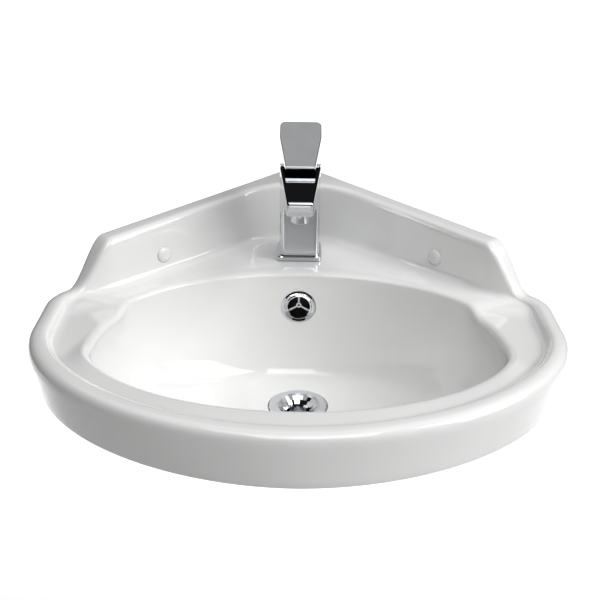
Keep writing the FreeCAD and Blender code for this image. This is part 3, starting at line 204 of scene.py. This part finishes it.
def bend(a, b, c, share):
    """A point on the quadratic curve a, b, c."""
    return lerp(lerp(a, b, share), lerp(b, c, share), share)


def mesh_object(name, bm, body=BODY, material=None, sharp=35.0):
    """Turn a bmesh in millimetres into a finished object riding on a body."""
    bmesh.ops.remove_doubles(bm, verts=bm.verts, dist=0.001)
    bmesh.ops.recalc_face_normals(bm, faces=bm.faces)
    bmesh.ops.scale(bm, vec=(MM, MM, MM), verts=bm.verts)
    mesh = bpy.data.meshes.new(name)
    bm.to_mesh(mesh)
    bm.free()
    mesh.shade_smooth()
    mesh.set_sharp_from_angle(angle=math.radians(sharp))
    piece = bpy.data.objects.new(name, mesh)
    bpy.context.scene.collection.objects.link(piece)
    if material:
        mesh.materials.append(material)
    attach(piece, body)
    return piece


# --- outline of the basin --------------------------------------------------------------------
def front_station(angle):
    half_depth = REACH + WIDEST_Y
    power = 2.0 / FULLNESS
    sine = math.sin(math.radians(angle)) ** power
    cosine = max(math.cos(math.radians(angle)), 0.0) ** power
    point = Vector((HALF_WIDTH * sine, WIDEST_Y - half_depth * cosine, 0))
    inward = Vector((-sine ** (FULLNESS - 1) / HALF_WIDTH, cosine ** (FULLNESS - 1) / half_depth, 0))
    return point, inward.normalized()


def rim_size(rise):
    share = ease(rise)
    front = (settings().rim_height / MM, RIM_FOOT, RIM_TOP, RIM_OUTER_ROUND, RIM_INNER_ROUND, RIM_FILLET)
    wing = (RIM_WING, WING_FOOT, WING_TOP, WING_OUTER_ROUND, RIM_INNER_ROUND, WING_FILLET)
    return tuple(lerp(a, b, share) for a, b in zip(front, wing))


def upstand_height(along):
    return UPSTAND_CORNER - (UPSTAND_CORNER - UPSTAND_END) / UPSTAND_LENGTH * along


def sweep_size(along):
    share = ease((along - UPSTAND_LENGTH) / SWEEP_LENGTH)
    tall = (upstand_height(along), UPSTAND_FOOT, UPSTAND_TOP, UPSTAND_OUTER_ROUND, UPSTAND_INNER_ROUND,
            FOOT_FILLET)
    return tuple(lerp(a, b, share) for a, b in zip(tall, rim_size(1.0)))


def wing_centre():
    x = HALF_WIDTH - WING_R
    return Vector((x, -x - WING_R * ROOT2, 0))


def corner_station(angle):
    reach = (UPSTAND_FOOT + INNER_CORNER_R) * ROOT2
    outward = Vector((math.sin(math.radians(angle)), math.cos(math.radians(angle)), 0))
    distance = reach / (outward.x + outward.y)
    point = Vector((0, -reach, 0)) + outward * distance
    size = (upstand_height(point.x * ROOT2), distance - INNER_CORNER_R,
            distance - INNER_CORNER_R - UPSTAND_FOOT + UPSTAND_TOP,
            UPSTAND_OUTER_ROUND, UPSTAND_INNER_ROUND, FOOT_FILLET)
    return point, -outward, size, 0.0


def half_stations():
    """Outline point, inward direction, section sizes and apron inset, front to back corner."""
    stations = []
    for k in range(FRONT_COLUMNS):
        share = k / FRONT_COLUMNS
        point, inward = front_station(90.0 * share)
        inset = lerp(APRON_FRONT_INSET, APRON_SIDE_INSET, ease(1.4 * share))
        stations.append((point, inward, rim_size(share), inset))
    bend_point = wing_centre()
    for k in range(SIDE_COLUMNS):
        y = lerp(WIDEST_Y, bend_point.y, k / SIDE_COLUMNS)
        stations.append((Vector((HALF_WIDTH, y, 0)), Vector((-1, 0, 0)), rim_size(1.0), APRON_SIDE_INSET))
    for k in range(WING_COLUMNS):
        share = k / WING_COLUMNS
        turn = math.radians(45.0 * share)
        outward = Vector((math.cos(turn), math.sin(turn), 0))
        inset = APRON_SIDE_INSET * (1 - share)
        stations.append((bend_point + outward * WING_R, -outward, rim_size(1.0), inset))
    end = bend_point + Vector((WING_R, WING_R, 0)) / ROOT2
    edge = (end.x - end.y) / ROOT2
    corner = UPSTAND_FOOT + INNER_CORNER_R
    level = UPSTAND_LENGTH - 12.0
    alongs = [lerp(edge, level, k / SWEEP_COLUMNS) for k in range(SWEEP_COLUMNS)]
    alongs += [lerp(level, corner, k / WALL_COLUMNS) for k in range(WALL_COLUMNS)]
    for along in alongs:
        point = Vector((along, -along, 0)) / ROOT2
        stations.append((point, Vector((-1, -1, 0)) / ROOT2, sweep_size(along), 0.0))
    stations += [corner_station(45.0 * (1 - k / CORNER_COLUMNS)) for k in range(CORNER_COLUMNS + 1)]
    return stations


# --- heights of the deck and trays ------------------------------------------------------------
def tray_share(x, y):
    """1 on the floor of a soap tray, 0 on the deck and the front land."""
    x = abs(x)
    back = TRAY_BACK_Y - TRAY_BACK_BOW * (x - TRAY_BACK_X) ** 2
    behind = ease((back - y - TRAY_BACK_START) / TRAY_BACK_RUN)
    dx, dy = x, y - BOWL_WIDEST_Y
    angle = math.degrees(math.atan2(dy, dx))
    radius = math.hypot(dx, dy)
    turned = ease((TRAY_CREASE_ANGLE - angle) / TRAY_CREASE_TURN)
    crease = lerp(TRAY_CREASE_SIDE, TRAY_CREASE_FRONT, turned)
    above_land = ease((radius - crease - TRAY_LAND_START) / TRAY_LAND_RUN)
    land = lerp(above_land, 1.0, ease((angle - 2.0) / 12.0))
    fade = 1.0 - ease((TRAY_END_ANGLE - angle) / TRAY_END_TURN)
    inside = ease((x - TRAY_INNER_X) / TRAY_INNER_RUN)
    return behind * land * fade * inside


def deck_height(x, y):
    return -settings().tray_depth / MM * tray_share(x, y)


# --- bowl --------------------------------------------------------------------------------------
def bowl_point(turn, depth, wall=0.0, spread=0.0):
    """A point of the bowl's inner face (or of its outer face, a wall further out)."""
    side = (1.0 - depth ** 2.5) ** 0.4
    back = (1.0 - depth ** 4.0) ** 0.25
    half_width = lerp(DRAIN_FLAT_R, BOWL_HALF_WIDTH, side) + wall + spread
    back_y = DRAIN_Y + DRAIN_FLAT_R + (BOWL_BACK_Y - DRAIN_Y - DRAIN_FLAT_R) * back + wall + spread
    front_y = DRAIN_Y - DRAIN_FLAT_R + (BOWL_FRONT_Y - DRAIN_Y + DRAIN_FLAT_R) * side - wall - spread
    middle_y = lerp(DRAIN_Y, BOWL_WIDEST_Y, side)
    reach = back_y - middle_y if math.sin(turn) > 0 else middle_y - front_y
    z = -EDGE_DROP - (BOWL_DEPTH - EDGE_DROP) * depth - wall * depth
    return Vector((half_width * math.cos(turn), middle_y + reach * math.sin(turn), z))


def bowl_turn(point):
    """The ellipse angle of the bowl edge on the ray to a deck point."""
    dy = point.y - BOWL_WIDEST_Y
    semi = BOWL_BACK_Y - BOWL_WIDEST_Y if dy > 0 else BOWL_WIDEST_Y - BOWL_FRONT_Y
    return math.atan2(dy / semi, point.x / BOWL_HALF_WIDTH)


def edge_roll_width(turn):
    """How far the bowl's edge rolls over: soft behind, tighter at the sides and front."""
    return lerp(8.0, 26.0, ease((math.sin(turn) - 0.72) / 0.28))


BOWL_ROWS = [0.0, 0.03, 0.07, 0.12, 0.18, 0.25, 0.32, 0.40, 0.48, 0.56, 0.63, 0.70, 0.76, 0.81, 0.855,
             0.89, 0.92, 0.945, 0.965, 0.98, 0.992, 1.0]


def column(station):
    """One upright section through the whole ceramic, as a closed list of points."""
    point, inward, size, inset = station
    height, foot, top, outer_round, inner_round, fillet = size

    def at(out, z):
        return point + inward * out + Vector((0, 0, z))

    rows = [at(inset + 2.0, -APRON_DEPTH), at(inset + 0.5, -APRON_DEPTH + 0.5),
            at(inset, -APRON_DEPTH + 2.0)]
    shoulder_z = height - outer_round
    for share in (0.15, 0.4, 0.7, 0.9, 1.0):
        rows.append(at(inset * (1 - share), lerp(-APRON_DEPTH + 2.0, shoulder_z, share)))
    for k in range(1, 9):
        rows.append(bend(at(0, shoulder_z), at(0, height), at(outer_round, height), k / 8))
    brow = top - inner_round
    rows.append(at(lerp(outer_round, brow, 0.5), height))
    rows.append(at(brow, height))
    lower = at(foot + fillet, 0)
    ground = deck_height(lower.x, lower.y)
    rise = height - ground
    drop = min(inner_round, 0.5 * rise)
    climb = min(fillet, 0.4 * rise)
    slope = (foot - top) / rise
    cheek = (top + slope * drop, height - drop)
    ankle = (foot - slope * climb, ground + climb)
    for k in range(1, 8):
        rows.append(at(*bend(Vector((brow, height)), Vector((top, height)), Vector(cheek), k / 7)))
    for share in (0.2, 0.4, 0.6, 0.8, 1.0):
        rows.append(at(lerp(cheek[0], ankle[0], share), lerp(cheek[1], ankle[1], share)))
    for k in range(1, 7):
        rows.append(at(*bend(Vector(ankle), Vector((foot, ground)), Vector((foot + fillet, ground)), k / 6)))
    turn = bowl_turn(lower)
    spread = edge_roll_width(turn)
    start = rows[-1]
    tray = tray_share(*bowl_point(turn, 0.0).xy)
    shift = -TRAY_SHIFT * tray
    lip = bowl_point(turn, 0.0, 0.0, spread + shift)
    for k in range(1, 21):
        share = k / 20
        x, y = lerp(start.x, lip.x, share), lerp(start.y, lip.y, share)
        rows.append(Vector((x, y, deck_height(x, y))))
    edge = rows[-1].z
    for k in range(1, 9):
        angle = math.pi / 2 * k / 8
        place = bowl_point(turn, 0.0, 0.0, spread * (1 - math.sin(angle)) + shift)
        place.z = edge - EDGE_DROP * (1 - math.cos(angle))
        rows.append(place)
    for depth in BOWL_ROWS[1:]:
        fade = max(1.0 - depth / 0.3, 0.0) ** 2
        place = bowl_point(turn, depth, 0.0, shift * fade)
        place.z += (edge * max(1.0 - depth / 0.25, 0.0))
        rows.append(place)
    rows += drain_rows(turn)
    rows += outer_rows(turn, at, inset)
    return rows


def circle_point(turn, radius, z):
    return Vector((radius * math.cos(turn), DRAIN_Y + radius * math.sin(turn), z))


def drain_rows(turn):
    """From the flat round the waste down through the boss and out to its foot."""
    floor = -BOWL_DEPTH
    return [
        circle_point(turn, 35.5, floor), circle_point(turn, 33.0, floor - 0.3),
        circle_point(turn, 32.4, floor - 1.2), circle_point(turn, 32.4, FLANGE_SEAT),
        circle_point(turn, DRAIN_HOLE_R, FLANGE_SEAT),
        circle_point(turn, DRAIN_HOLE_R, BOSS_BOTTOM), circle_point(turn, BOSS_R - 2, BOSS_BOTTOM),
        circle_point(turn, BOSS_R, BOSS_BOTTOM + 2), circle_point(turn, BOSS_R, -BOWL_DEPTH - BOWL_WALL - 8),
        circle_point(turn, BOSS_R + 3, -BOWL_DEPTH - BOWL_WALL - 2),
    ]


def outer_rows(turn, at, inset):
    """The outside of the bowl, the underside of the deck and the inside of the apron."""
    rows = []
    for depth in (0.985, 0.955, 0.91, 0.85, 0.77, 0.67, 0.56, 0.45, 0.34, 0.24, 0.15):
        rows.append(bowl_point(turn, depth, BOWL_WALL))
    under = bowl_point(turn, 0.08, BOWL_WALL)
    rows.append(Vector((under.x, under.y, DECK_UNDER - 3)))
    wall_top = at(APRON_WALL + 4.0, DECK_UNDER)
    out = (Vector((wall_top.x, wall_top.y, 0)) - Vector((under.x, under.y, 0)))
    out.normalize()
    rows.append(Vector((under.x, under.y, DECK_UNDER)) + out * 3)
    for share in (0.3, 0.6, 0.9):
        rows.append(lerp(rows[-1], wall_top, share))
    rows += [wall_top, at(APRON_WALL + 1.0, DECK_UNDER - 1.5), at(APRON_WALL + 0.5, DECK_UNDER - 5)]
    rows += [at(APRON_WALL + inset, -APRON_DEPTH + 1.5), at(APRON_WALL + inset - 1.0, -APRON_DEPTH)]
    return rows


def skin(columns, capped=False):
    """Extrude a ring of points row by row, then cap its ends or close it on itself."""
    bm = bmesh.new()
    count = len(columns)
    ring = bmesh.ops.create_circle(bm, segments=count)["verts"]
    for vert, col in zip(ring, columns):
        vert.co = col[0]
    first = list(bm.edges)
    edges = first
    for level in range(1, len(columns[0])):
        made = bmesh.ops.extrude_edge_only(bm, edges=edges)["geom"]
        fresh = {v for v in made if isinstance(v, bmesh.types.BMVert)}
        edges = [e for e in made if isinstance(e, bmesh.types.BMEdge) and set(e.verts) <= fresh]
        ring = [next(e.other_vert(v) for e in v.link_edges if e.other_vert(v) in fresh) for v in ring]
        for vert, col in zip(ring, columns):
            vert.co = col[level]
    if capped:
        bmesh.ops.holes_fill(bm, edges=first + edges, sides=0)
        bmesh.ops.recalc_face_normals(bm, faces=bm.faces)
    else:
        bmesh.ops.bridge_loops(bm, edges=first + edges)
    return bm


def basin_mesh():
    right = [column(station) for station in half_stations()]
    flip = Matrix.Scale(-1, 3, Vector((1, 0, 0)))
    left = [[flip @ p for p in col] for col in reversed(right[1:-1])]
    return skin(right + left)


# --- duct, holes and hollows of the ceramic --------------------------------------------------------
def bowl_back_y(depth_below_deck):
    share = (depth_below_deck - EDGE_DROP) / (BOWL_DEPTH - EDGE_DROP)
    return lerp(DRAIN_Y + DRAIN_FLAT_R, BOWL_BACK_Y, (1.0 - share ** 4.0) ** 0.25)


def overflow_place():
    """The placement of the overflow: its middle on the bowl's back wall, +Z into the bowl."""
    step = 4.0
    run = bowl_back_y(OVERFLOW_DEPTH - step) - bowl_back_y(OVERFLOW_DEPTH + step)
    facing = Vector((0, -2 * step, run)).normalized()
    centre = Vector((0, bowl_back_y(OVERFLOW_DEPTH), -OVERFLOW_DEPTH))
    return Matrix.Translation(centre) @ facing.to_track_quat("Z", "Y").to_matrix().to_4x4()


def screw_place(side):
    """The placement of a wall screw: its foot on the wall, +Z out of the wall."""
    foot = Vector((side * SCREW_ALONG, -SCREW_ALONG, SCREW_HEIGHT * ROOT2)) / ROOT2
    out = Vector((-side, -1, 0)).normalized()
    return Matrix.Translation(foot) @ out.to_track_quat("Z", "Y").to_matrix().to_4x4()


def prism(points, run):
    """A closed solid: a flat outline extruded along a vector."""
    bm = bmesh.new()
    ring = bmesh.ops.create_circle(bm, cap_ends=True, segments=len(points))["verts"]
    for vert, point in zip(ring, points):
        vert.co = point
    made = bmesh.ops.extrude_face_region(bm, geom=list(bm.faces))["geom"]
    bmesh.ops.translate(bm, vec=run, verts=[v for v in made if isinstance(v, bmesh.types.BMVert)])
    bmesh.ops.recalc_face_normals(bm, faces=bm.faces)
    return bm


def peg(radius, low, high, place=Matrix.Identity(4), segments=64):
    """A round bar along its own Z axis."""
    bm = bmesh.new()
    bmesh.ops.create_cone(bm, cap_ends=True, segments=segments, radius1=radius, radius2=radius,
                          depth=high - low)
    bmesh.ops.translate(bm, vec=(0, 0, (low + high) / 2), verts=bm.verts)
    bmesh.ops.transform(bm, matrix=place, verts=bm.verts)
    return bm


def tool(name, bm, finish=0):
    """A helper object that shapes the ceramic and is removed afterwards."""
    # A finish of 1 gives the cut faces the painted shade of the overflow passage.
    for face in bm.faces:
        face.material_index = finish
    bmesh.ops.scale(bm, vec=(MM, MM, MM), verts=bm.verts)
    mesh = bpy.data.meshes.new(name)
    bm.to_mesh(mesh)
    bm.free()
    mesh.materials.append(FINISHES["glazed_ceramic"])
    # Slot 1 is the painted shade of the overflow passage.
    mesh.materials.append(FINISHES["passage_painted_shade"])
    piece = bpy.data.objects.new(name, mesh)
    bpy.context.scene.collection.objects.link(piece)
    return piece


def combine(piece, other, operation):
    change = piece.modifiers.new(other.name, "BOOLEAN")
    change.solver = "EXACT"
    change.operation = operation
    change.object = other


def duct_side(inset):
    """Side view of the overflow duct behind and below the bowl, or of its hollow."""
    wall_y = bowl_back_y(OVERFLOW_DEPTH)
    back = wall_y + BOWL_WALL + DUCT_GAP + DUCT_WALL - inset
    low = BOSS_BOTTOM + inset
    top = DECK_UNDER + 2.0 - inset
    front = DRAIN_Y + inset
    return [
        (back, top), (back, DUCT_GAP - BOWL_DEPTH), (back - DUCT_GAP - BOWL_WALL, low + BOWL_WALL),
        (back - 2 * DUCT_GAP - BOWL_WALL, low), (front, low), (front, DUCT_GAP - BOWL_DEPTH),
        (wall_y, -OVERFLOW_DEPTH), (wall_y, top),
    ]


def duct_prism(inset, half_width):
    points = [Vector((-half_width, y, z)) for y, z in duct_side(inset)]
    return prism(points, (2 * half_width, 0, 0))


def bowl_core(wall):
    """The bowl as one closed solid, out to a part or all of its wall."""
    turns = [math.tau * k / 128 for k in range(128)]
    return skin([[bowl_point(turn, depth, wall) for depth in BOWL_ROWS] for turn in turns], capped=True)


def make_tools():
    """The duct to add, and everything that is taken out of the ceramic."""
    duct = tool("duct", duct_prism(0.0, DUCT_HALF_WIDTH + DUCT_WALL))
    combine(duct, tool("bowl_space", bowl_core(BOWL_WALL / 2)), "DIFFERENCE")
    drain = Matrix.Translation((0, DRAIN_Y, 0))
    waste_space = peg(DRAIN_HOLE_R + 0.05, BOSS_BOTTOM - 9, FLANGE_SEAT + 9, drain)
    combine(duct, tool("waste_space", waste_space), "DIFFERENCE")
    # The passage hollow, the bowl cut from it and the overflow hole take finish 1, the painted shade inside
    # the overflow.
    passage = tool("passage", duct_prism(DUCT_WALL, DUCT_HALF_WIDTH), 1)
    combine(passage, tool("bowl_body", bowl_core(BOWL_WALL), 1), "DIFFERENCE")
    overflow = overflow_place()
    tap = Matrix.Translation((0, TAP_Y, 0)) @ Matrix.Rotation(0.031, 4, "Z")
    cuts = [
        passage,
        tool("tap_hole", peg(TAP_HOLE_R, DECK_UNDER - 9, 9, tap)),
        tool("overflow_hole", peg(OVERFLOW_HOLE_R, -BOWL_WALL - 6, 6, overflow), 1),
        tool("overflow_seat", peg(OVERFLOW_SEAT_R, -OVERFLOW_SEAT_SINK, 9, overflow)),
    ]
    corner = [Vector((-60, y, z)) for y, z in ((-CORNER_CUT, -60), (30, -60), (30, 80), (-CORNER_CUT, 80))]
    cuts.append(tool("corner", prism(corner, (120, 0, 0))))
    for side in (-1, 1):
        place = screw_place(side)
        cuts.append(tool("screw_hole", peg(SCREW_HOLE_R, -2, SCREW_POCKET_START + 3, place)))
        pocket = peg(SCREW_POCKET_R, SCREW_POCKET_START, SCREW_POCKET_START + 20, place)
        cuts.append(tool("screw_pocket", pocket))
        recess = tool("recess", recess_prism(side))
        combine(recess, tool("screw_boss", peg(SCREW_BOSS_R, -3, RECESS_DEPTH + 3, place)), "DIFFERENCE")
        cuts.append(recess)
    return duct, cuts


def recess_prism(side):
    """The hollow that relieves one back face, before its screw boss."""
    out = Vector((-side, -1, 0)) / ROOT2
    points = []
    corners = ((RECESS_START, 0.0), (RECESS_END, 0.0), (RECESS_END, upstand_height(RECESS_END) - RECESS_LIP),
               (RECESS_START, upstand_height(RECESS_START) - RECESS_LIP))
    for along, z in corners:
        points.append(Vector((side * along, -along, z * ROOT2)) / ROOT2 - out)
    return prism(points, out * (RECESS_DEPTH + 1))


def shape_ceramic(piece):
    """Add the duct to the ceramic and cut its holes and hollows."""
    before = set(bpy.data.objects)
    duct, cuts = make_tools()
    combine(piece, duct, "UNION")
    for cut in cuts:
        combine(piece, cut, "DIFFERENCE")
    graph = bpy.context.evaluated_depsgraph_get()
    mesh = bpy.data.meshes.new_from_object(piece.evaluated_get(graph))
    piece.modifiers.clear()
    piece.data = mesh
    bm = bmesh.new()
    bm.from_mesh(mesh)
    bmesh.ops.remove_doubles(bm, verts=bm.verts, dist=0.003 * MM)
    bmesh.ops.holes_fill(bm, edges=[edge for edge in bm.edges if edge.is_boundary], sides=4)
    bm.to_mesh(mesh)
    bm.free()
    mesh.shade_smooth()
    mesh.set_sharp_from_angle(angle=math.radians(35.0))
    for helper in set(bpy.data.objects) - before:
        bpy.data.objects.remove(helper, do_unlink=True)


# --- materials -----------------------------------------------------------------------------------
def new_material(name):
    material = bpy.data.materials.new(name)
    material.use_nodes = True
    nodes = material.node_tree.nodes
    nodes.clear()
    out = nodes.new("ShaderNodeOutputMaterial")
    shader = nodes.new("ShaderNodeBsdfPrincipled")
    material.node_tree.links.new(shader.outputs["BSDF"], out.inputs["Surface"])
    return material, shader


def object_noise(material, scale, detail=2.0):
    """Noise on the piece's own coordinates; scale is in waves per metre."""
    nodes, links = material.node_tree.nodes, material.node_tree.links
    place = nodes.new("ShaderNodeTexCoord")
    noise = nodes.new("ShaderNodeTexNoise")
    noise.inputs["Scale"].default_value = scale
    noise.inputs["Detail"].default_value = detail
    links.new(place.outputs["Object"], noise.inputs["Vector"])
    return noise.outputs["Fac"]


def spread(material, value, low, high):
    """Map a 0 to 1 value onto a narrow range."""
    nodes, links = material.node_tree.nodes, material.node_tree.links
    node = nodes.new("ShaderNodeMapRange")
    node.inputs["From Min"].default_value = 0.3
    node.inputs["From Max"].default_value = 0.7
    node.inputs["To Min"].default_value = low
    node.inputs["To Max"].default_value = high
    links.new(value, node.inputs["Value"])
    return node.outputs["Result"]


def tint(material, shader, value, dark, light):
    """Vary the base colour a little between two tones."""
    nodes, links = material.node_tree.nodes, material.node_tree.links
    ramp = nodes.new("ShaderNodeValToRGB")
    ramp.color_ramp.elements[0].position = 0.3
    ramp.color_ramp.elements[1].position = 0.7
    ramp.color_ramp.elements[0].color = (*dark, 1)
    ramp.color_ramp.elements[1].color = (*light, 1)
    links.new(value, ramp.inputs["Fac"])
    links.new(ramp.outputs["Color"], shader.inputs["Base Color"])


def bump(material, shader, value, height, socket="Normal"):
    """A fine relief; height is in metres."""
    nodes, links = material.node_tree.nodes, material.node_tree.links
    node = nodes.new("ShaderNodeBump")
    node.inputs["Strength"].default_value = 1.0
    node.inputs["Distance"].default_value = height
    links.new(value, node.inputs["Height"])
    links.new(node.outputs["Normal"], shader.inputs[socket])


def glazed_ceramic(name="glazed_ceramic"):
    material, shader = new_material(name)
    light = tuple(settings().glaze_tone)
    tint(material, shader, object_noise(material, 9.0), tuple(0.965 * part for part in light), light)
    links = material.node_tree.links
    links.new(spread(material, object_noise(material, 30.0), 0.05, 0.09), shader.inputs["Roughness"])
    bump(material, shader, object_noise(material, 55.0, 1.0), 0.00002)
    shader.inputs["IOR"].default_value = 1.52
    shader.inputs["Coat Weight"].default_value = 0.4
    shader.inputs["Coat Roughness"].default_value = 0.03
    return material


def metal(name, dark, light, low, high, relief):
    material, shader = new_material(name)
    shader.inputs["Metallic"].default_value = 1.0
    tint(material, shader, object_noise(material, 60.0), dark, light)
    rough = spread(material, object_noise(material, 220.0, 4.0), low, high)
    material.node_tree.links.new(rough, shader.inputs["Roughness"])
    bump(material, shader, object_noise(material, 900.0, 3.0), relief)
    return material


def dull(name, dark, light, low, high, relief):
    material, shader = new_material(name)
    tint(material, shader, object_noise(material, 140.0), dark, light)
    rough = spread(material, object_noise(material, 400.0, 3.0), low, high)
    material.node_tree.links.new(rough, shader.inputs["Roughness"])
    bump(material, shader, object_noise(material, 1500.0, 3.0), relief)
    return material


FINISHES = {}


def make_finishes():
    chrome, cap = tuple(settings().chrome_tone), tuple(settings().cap_tone)
    FINISHES["glazed_ceramic"] = glazed_ceramic()
    # Painted shade: a near-black finish for the inside of the overflow passage and its hole, standing in for
    # the dark of the deep, unlit hole rather than the colour of unglazed ceramic.
    FINISHES["passage_painted_shade"] = dull(
        "passage_painted_shade", (0.035, 0.034, 0.032), (0.05, 0.048, 0.045), 0.7, 0.85, 0.0001)
    FINISHES["chrome"] = metal(
        "polished_chrome", tuple(0.95 * part for part in chrome), chrome, 0.03, 0.06, 0.000001)
    FINISHES["brass"] = metal("machined_brass", (0.62, 0.45, 0.20), (0.72, 0.55, 0.28), 0.22, 0.36, 0.00001)
    FINISHES["steel"] = metal("zinc_plated_steel", (0.50, 0.50, 0.51), (0.60, 0.60, 0.61), 0.25, 0.4, 0.00001)
    FINISHES["rubber"] = dull("black_rubber", (0.012, 0.012, 0.012), (0.02, 0.02, 0.02), 0.6, 0.75, 0.00003)
    FINISHES["white_plastic"] = dull(
        "white_plastic", tuple(0.95 * part for part in cap), cap, 0.22, 0.32, 0.00002)
    FINISHES["disc_ceramic"] = dull(
        "lapped_ceramic", (0.72, 0.69, 0.62), (0.78, 0.75, 0.68), 0.18, 0.26, 0.00001)


def dress_nodes():
    """Give every solid of the frame the finish of its own slot."""
    slots = {part["node"]: part["material_slot"] for part in frame["record"]["subparts"]}
    for name, node in frame["nodes"].items():
        finish = FINISHES[slots[name]]
        node.data.materials.clear()
        node.data.materials.append(finish)


# --- settings ------------------------------------------------------------------------------------
class BasinSettings(bpy.types.PropertyGroup):
    """Sizes and colours that a user may change"""
    tray_depth: bpy.props.FloatProperty(
        name="Tray depth", description="Depth of the soap trays below the deck",
        default=TRAY_DEPTH * MM, min=0.0, max=0.009, unit="LENGTH")
    rim_height: bpy.props.FloatProperty(
        name="Rim height", description="Height of the front rim above the deck",
        default=RIM_FRONT * MM, min=0.001, max=0.004, unit="LENGTH")
    glaze_tone: bpy.props.FloatVectorProperty(
        name="Glaze", description="Colour of the glaze", size=3, subtype="COLOR", min=0.0, max=1.0,
        default=(0.83, 0.83, 0.825))
    chrome_tone: bpy.props.FloatVectorProperty(
        name="Chrome", description="Colour of the bright metal", size=3, subtype="COLOR", min=0.0, max=1.0,
        default=(0.65, 0.66, 0.68))
    cap_tone: bpy.props.FloatVectorProperty(
        name="Caps", description="Colour of the screw caps and other white plastic", size=3, subtype="COLOR",
        min=0.0, max=1.0, default=(0.84, 0.84, 0.835))


# --- operators -----------------------------------------------------------------------------------
class BASIN_OT_finishes(bpy.types.Operator):
    """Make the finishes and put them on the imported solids"""
    bl_idname = "basin.finishes"
    bl_label = "Finishes"

    def execute(self, context):
        make_finishes()
        dress_nodes()
        return {"FINISHED"}


class BASIN_OT_ceramic(bpy.types.Operator):
    """Make the glazed ceramic body"""
    bl_idname = "basin.ceramic"
    bl_label = "Ceramic body"

    def execute(self, context):
        piece = mesh_object("glazed_basin", basin_mesh(),
                            material=FINISHES["glazed_ceramic"])
        # Slot 1: painted shade for the inside of the overflow passage.
        piece.data.materials.append(FINISHES["passage_painted_shade"])
        shape_ceramic(piece)
        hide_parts("basin")
        return {"FINISHED"}


class BASIN_OT_stage(bpy.types.Operator):
    """Set up the pale floor, the soft light and the camera"""
    bl_idname = "basin.stage"
    bl_label = "Stage"

    def execute(self, context):
        make_floor()
        make_lights()
        make_camera()
        return {"FINISHED"}


def make_floor():
    bm = bmesh.new()
    bmesh.ops.create_grid(bm, x_segments=1, y_segments=1, size=12.0)
    bmesh.ops.translate(bm, vec=(0, 0, FLOOR_Z), verts=bm.verts)
    mesh = bpy.data.meshes.new("floor")
    bm.to_mesh(mesh)
    bm.free()
    floor = bpy.data.objects.new("floor", mesh)
    bpy.context.scene.collection.objects.link(floor)
    material, shader = new_material("floor_paint")
    tint(material, shader, object_noise(material, 3.0), (0.93, 0.93, 0.93), (0.94, 0.94, 0.94))
    shader.inputs["Roughness"].default_value = 0.9
    mesh.materials.append(material)


def area_light(name, place, target, size, power):
    light = bpy.data.lights.new(name, "AREA")
    light.shape = "RECTANGLE"
    light.size, light.size_y = size
    light.energy = power
    lamp = bpy.data.objects.new(name, light)
    lamp.location = place
    lamp.rotation_euler = (Vector(target) - Vector(place)).to_track_quat("-Z", "Y").to_euler()
    bpy.context.scene.collection.objects.link(lamp)
    return lamp


def make_lights():
    world = bpy.data.worlds.new("studio")
    bpy.context.scene.world = world
    world.use_nodes = True
    backdrop = world.node_tree.nodes["Background"]
    backdrop.inputs["Color"].default_value = (1, 1, 1, 1)
    backdrop.inputs["Strength"].default_value = 0.012
    for light in LIGHTS:
        area_light(*light)
    bpy.context.scene.view_settings.view_transform = "Standard"


def make_camera():
    data = bpy.data.cameras.new("camera")
    data.sensor_width = 36.0
    data.lens = LENS
    camera = bpy.data.objects.new("camera", data)
    elevation, yaw, roll = (math.radians(angle) for angle in (CAMERA_ELEVATION, CAMERA_YAW, CAMERA_ROLL))
    back = Vector((-math.sin(yaw) * math.cos(elevation), -math.cos(yaw) * math.cos(elevation),
                   math.sin(elevation)))
    camera.location = Vector(CAMERA_TARGET) + back * CAMERA_DISTANCE
    upright = (-back).to_track_quat("-Z", "Y").to_matrix()
    camera.rotation_euler = (upright @ Matrix.Rotation(roll, 3, "Z")).to_euler()
    bpy.context.scene.collection.objects.link(camera)
    bpy.context.scene.camera = camera


class BASIN_PT_panel(bpy.types.Panel):
    """The pieces of the basin"""
    bl_idname = "BASIN_PT_panel"
    bl_label = "Corner basin"
    bl_space_type = "VIEW_3D"
    bl_region_type = "UI"
    bl_category = "Basin"

    def draw(self, context):
        for name in BasinSettings.__annotations__:
            self.layout.prop(context.scene.basin_settings, name)
        for step in STEPS:
            self.layout.operator(step.bl_idname)


STEPS = (BASIN_OT_finishes, BASIN_OT_ceramic, BASIN_OT_stage)
CLASSES = (BasinSettings,) + STEPS + (BASIN_PT_panel,)


def register():
    for item in CLASSES:
        bpy.utils.register_class(item)
    bpy.types.Scene.basin_settings = bpy.props.PointerProperty(type=BasinSettings)


def unregister():
    del bpy.types.Scene.basin_settings
    for item in reversed(CLASSES):
        bpy.utils.unregister_class(item)


def main():
    register()
    bpy.ops.basin.finishes()
    bpy.ops.basin.ceramic()
    bpy.ops.basin.stage()


if __name__ == "__main__":
    main()
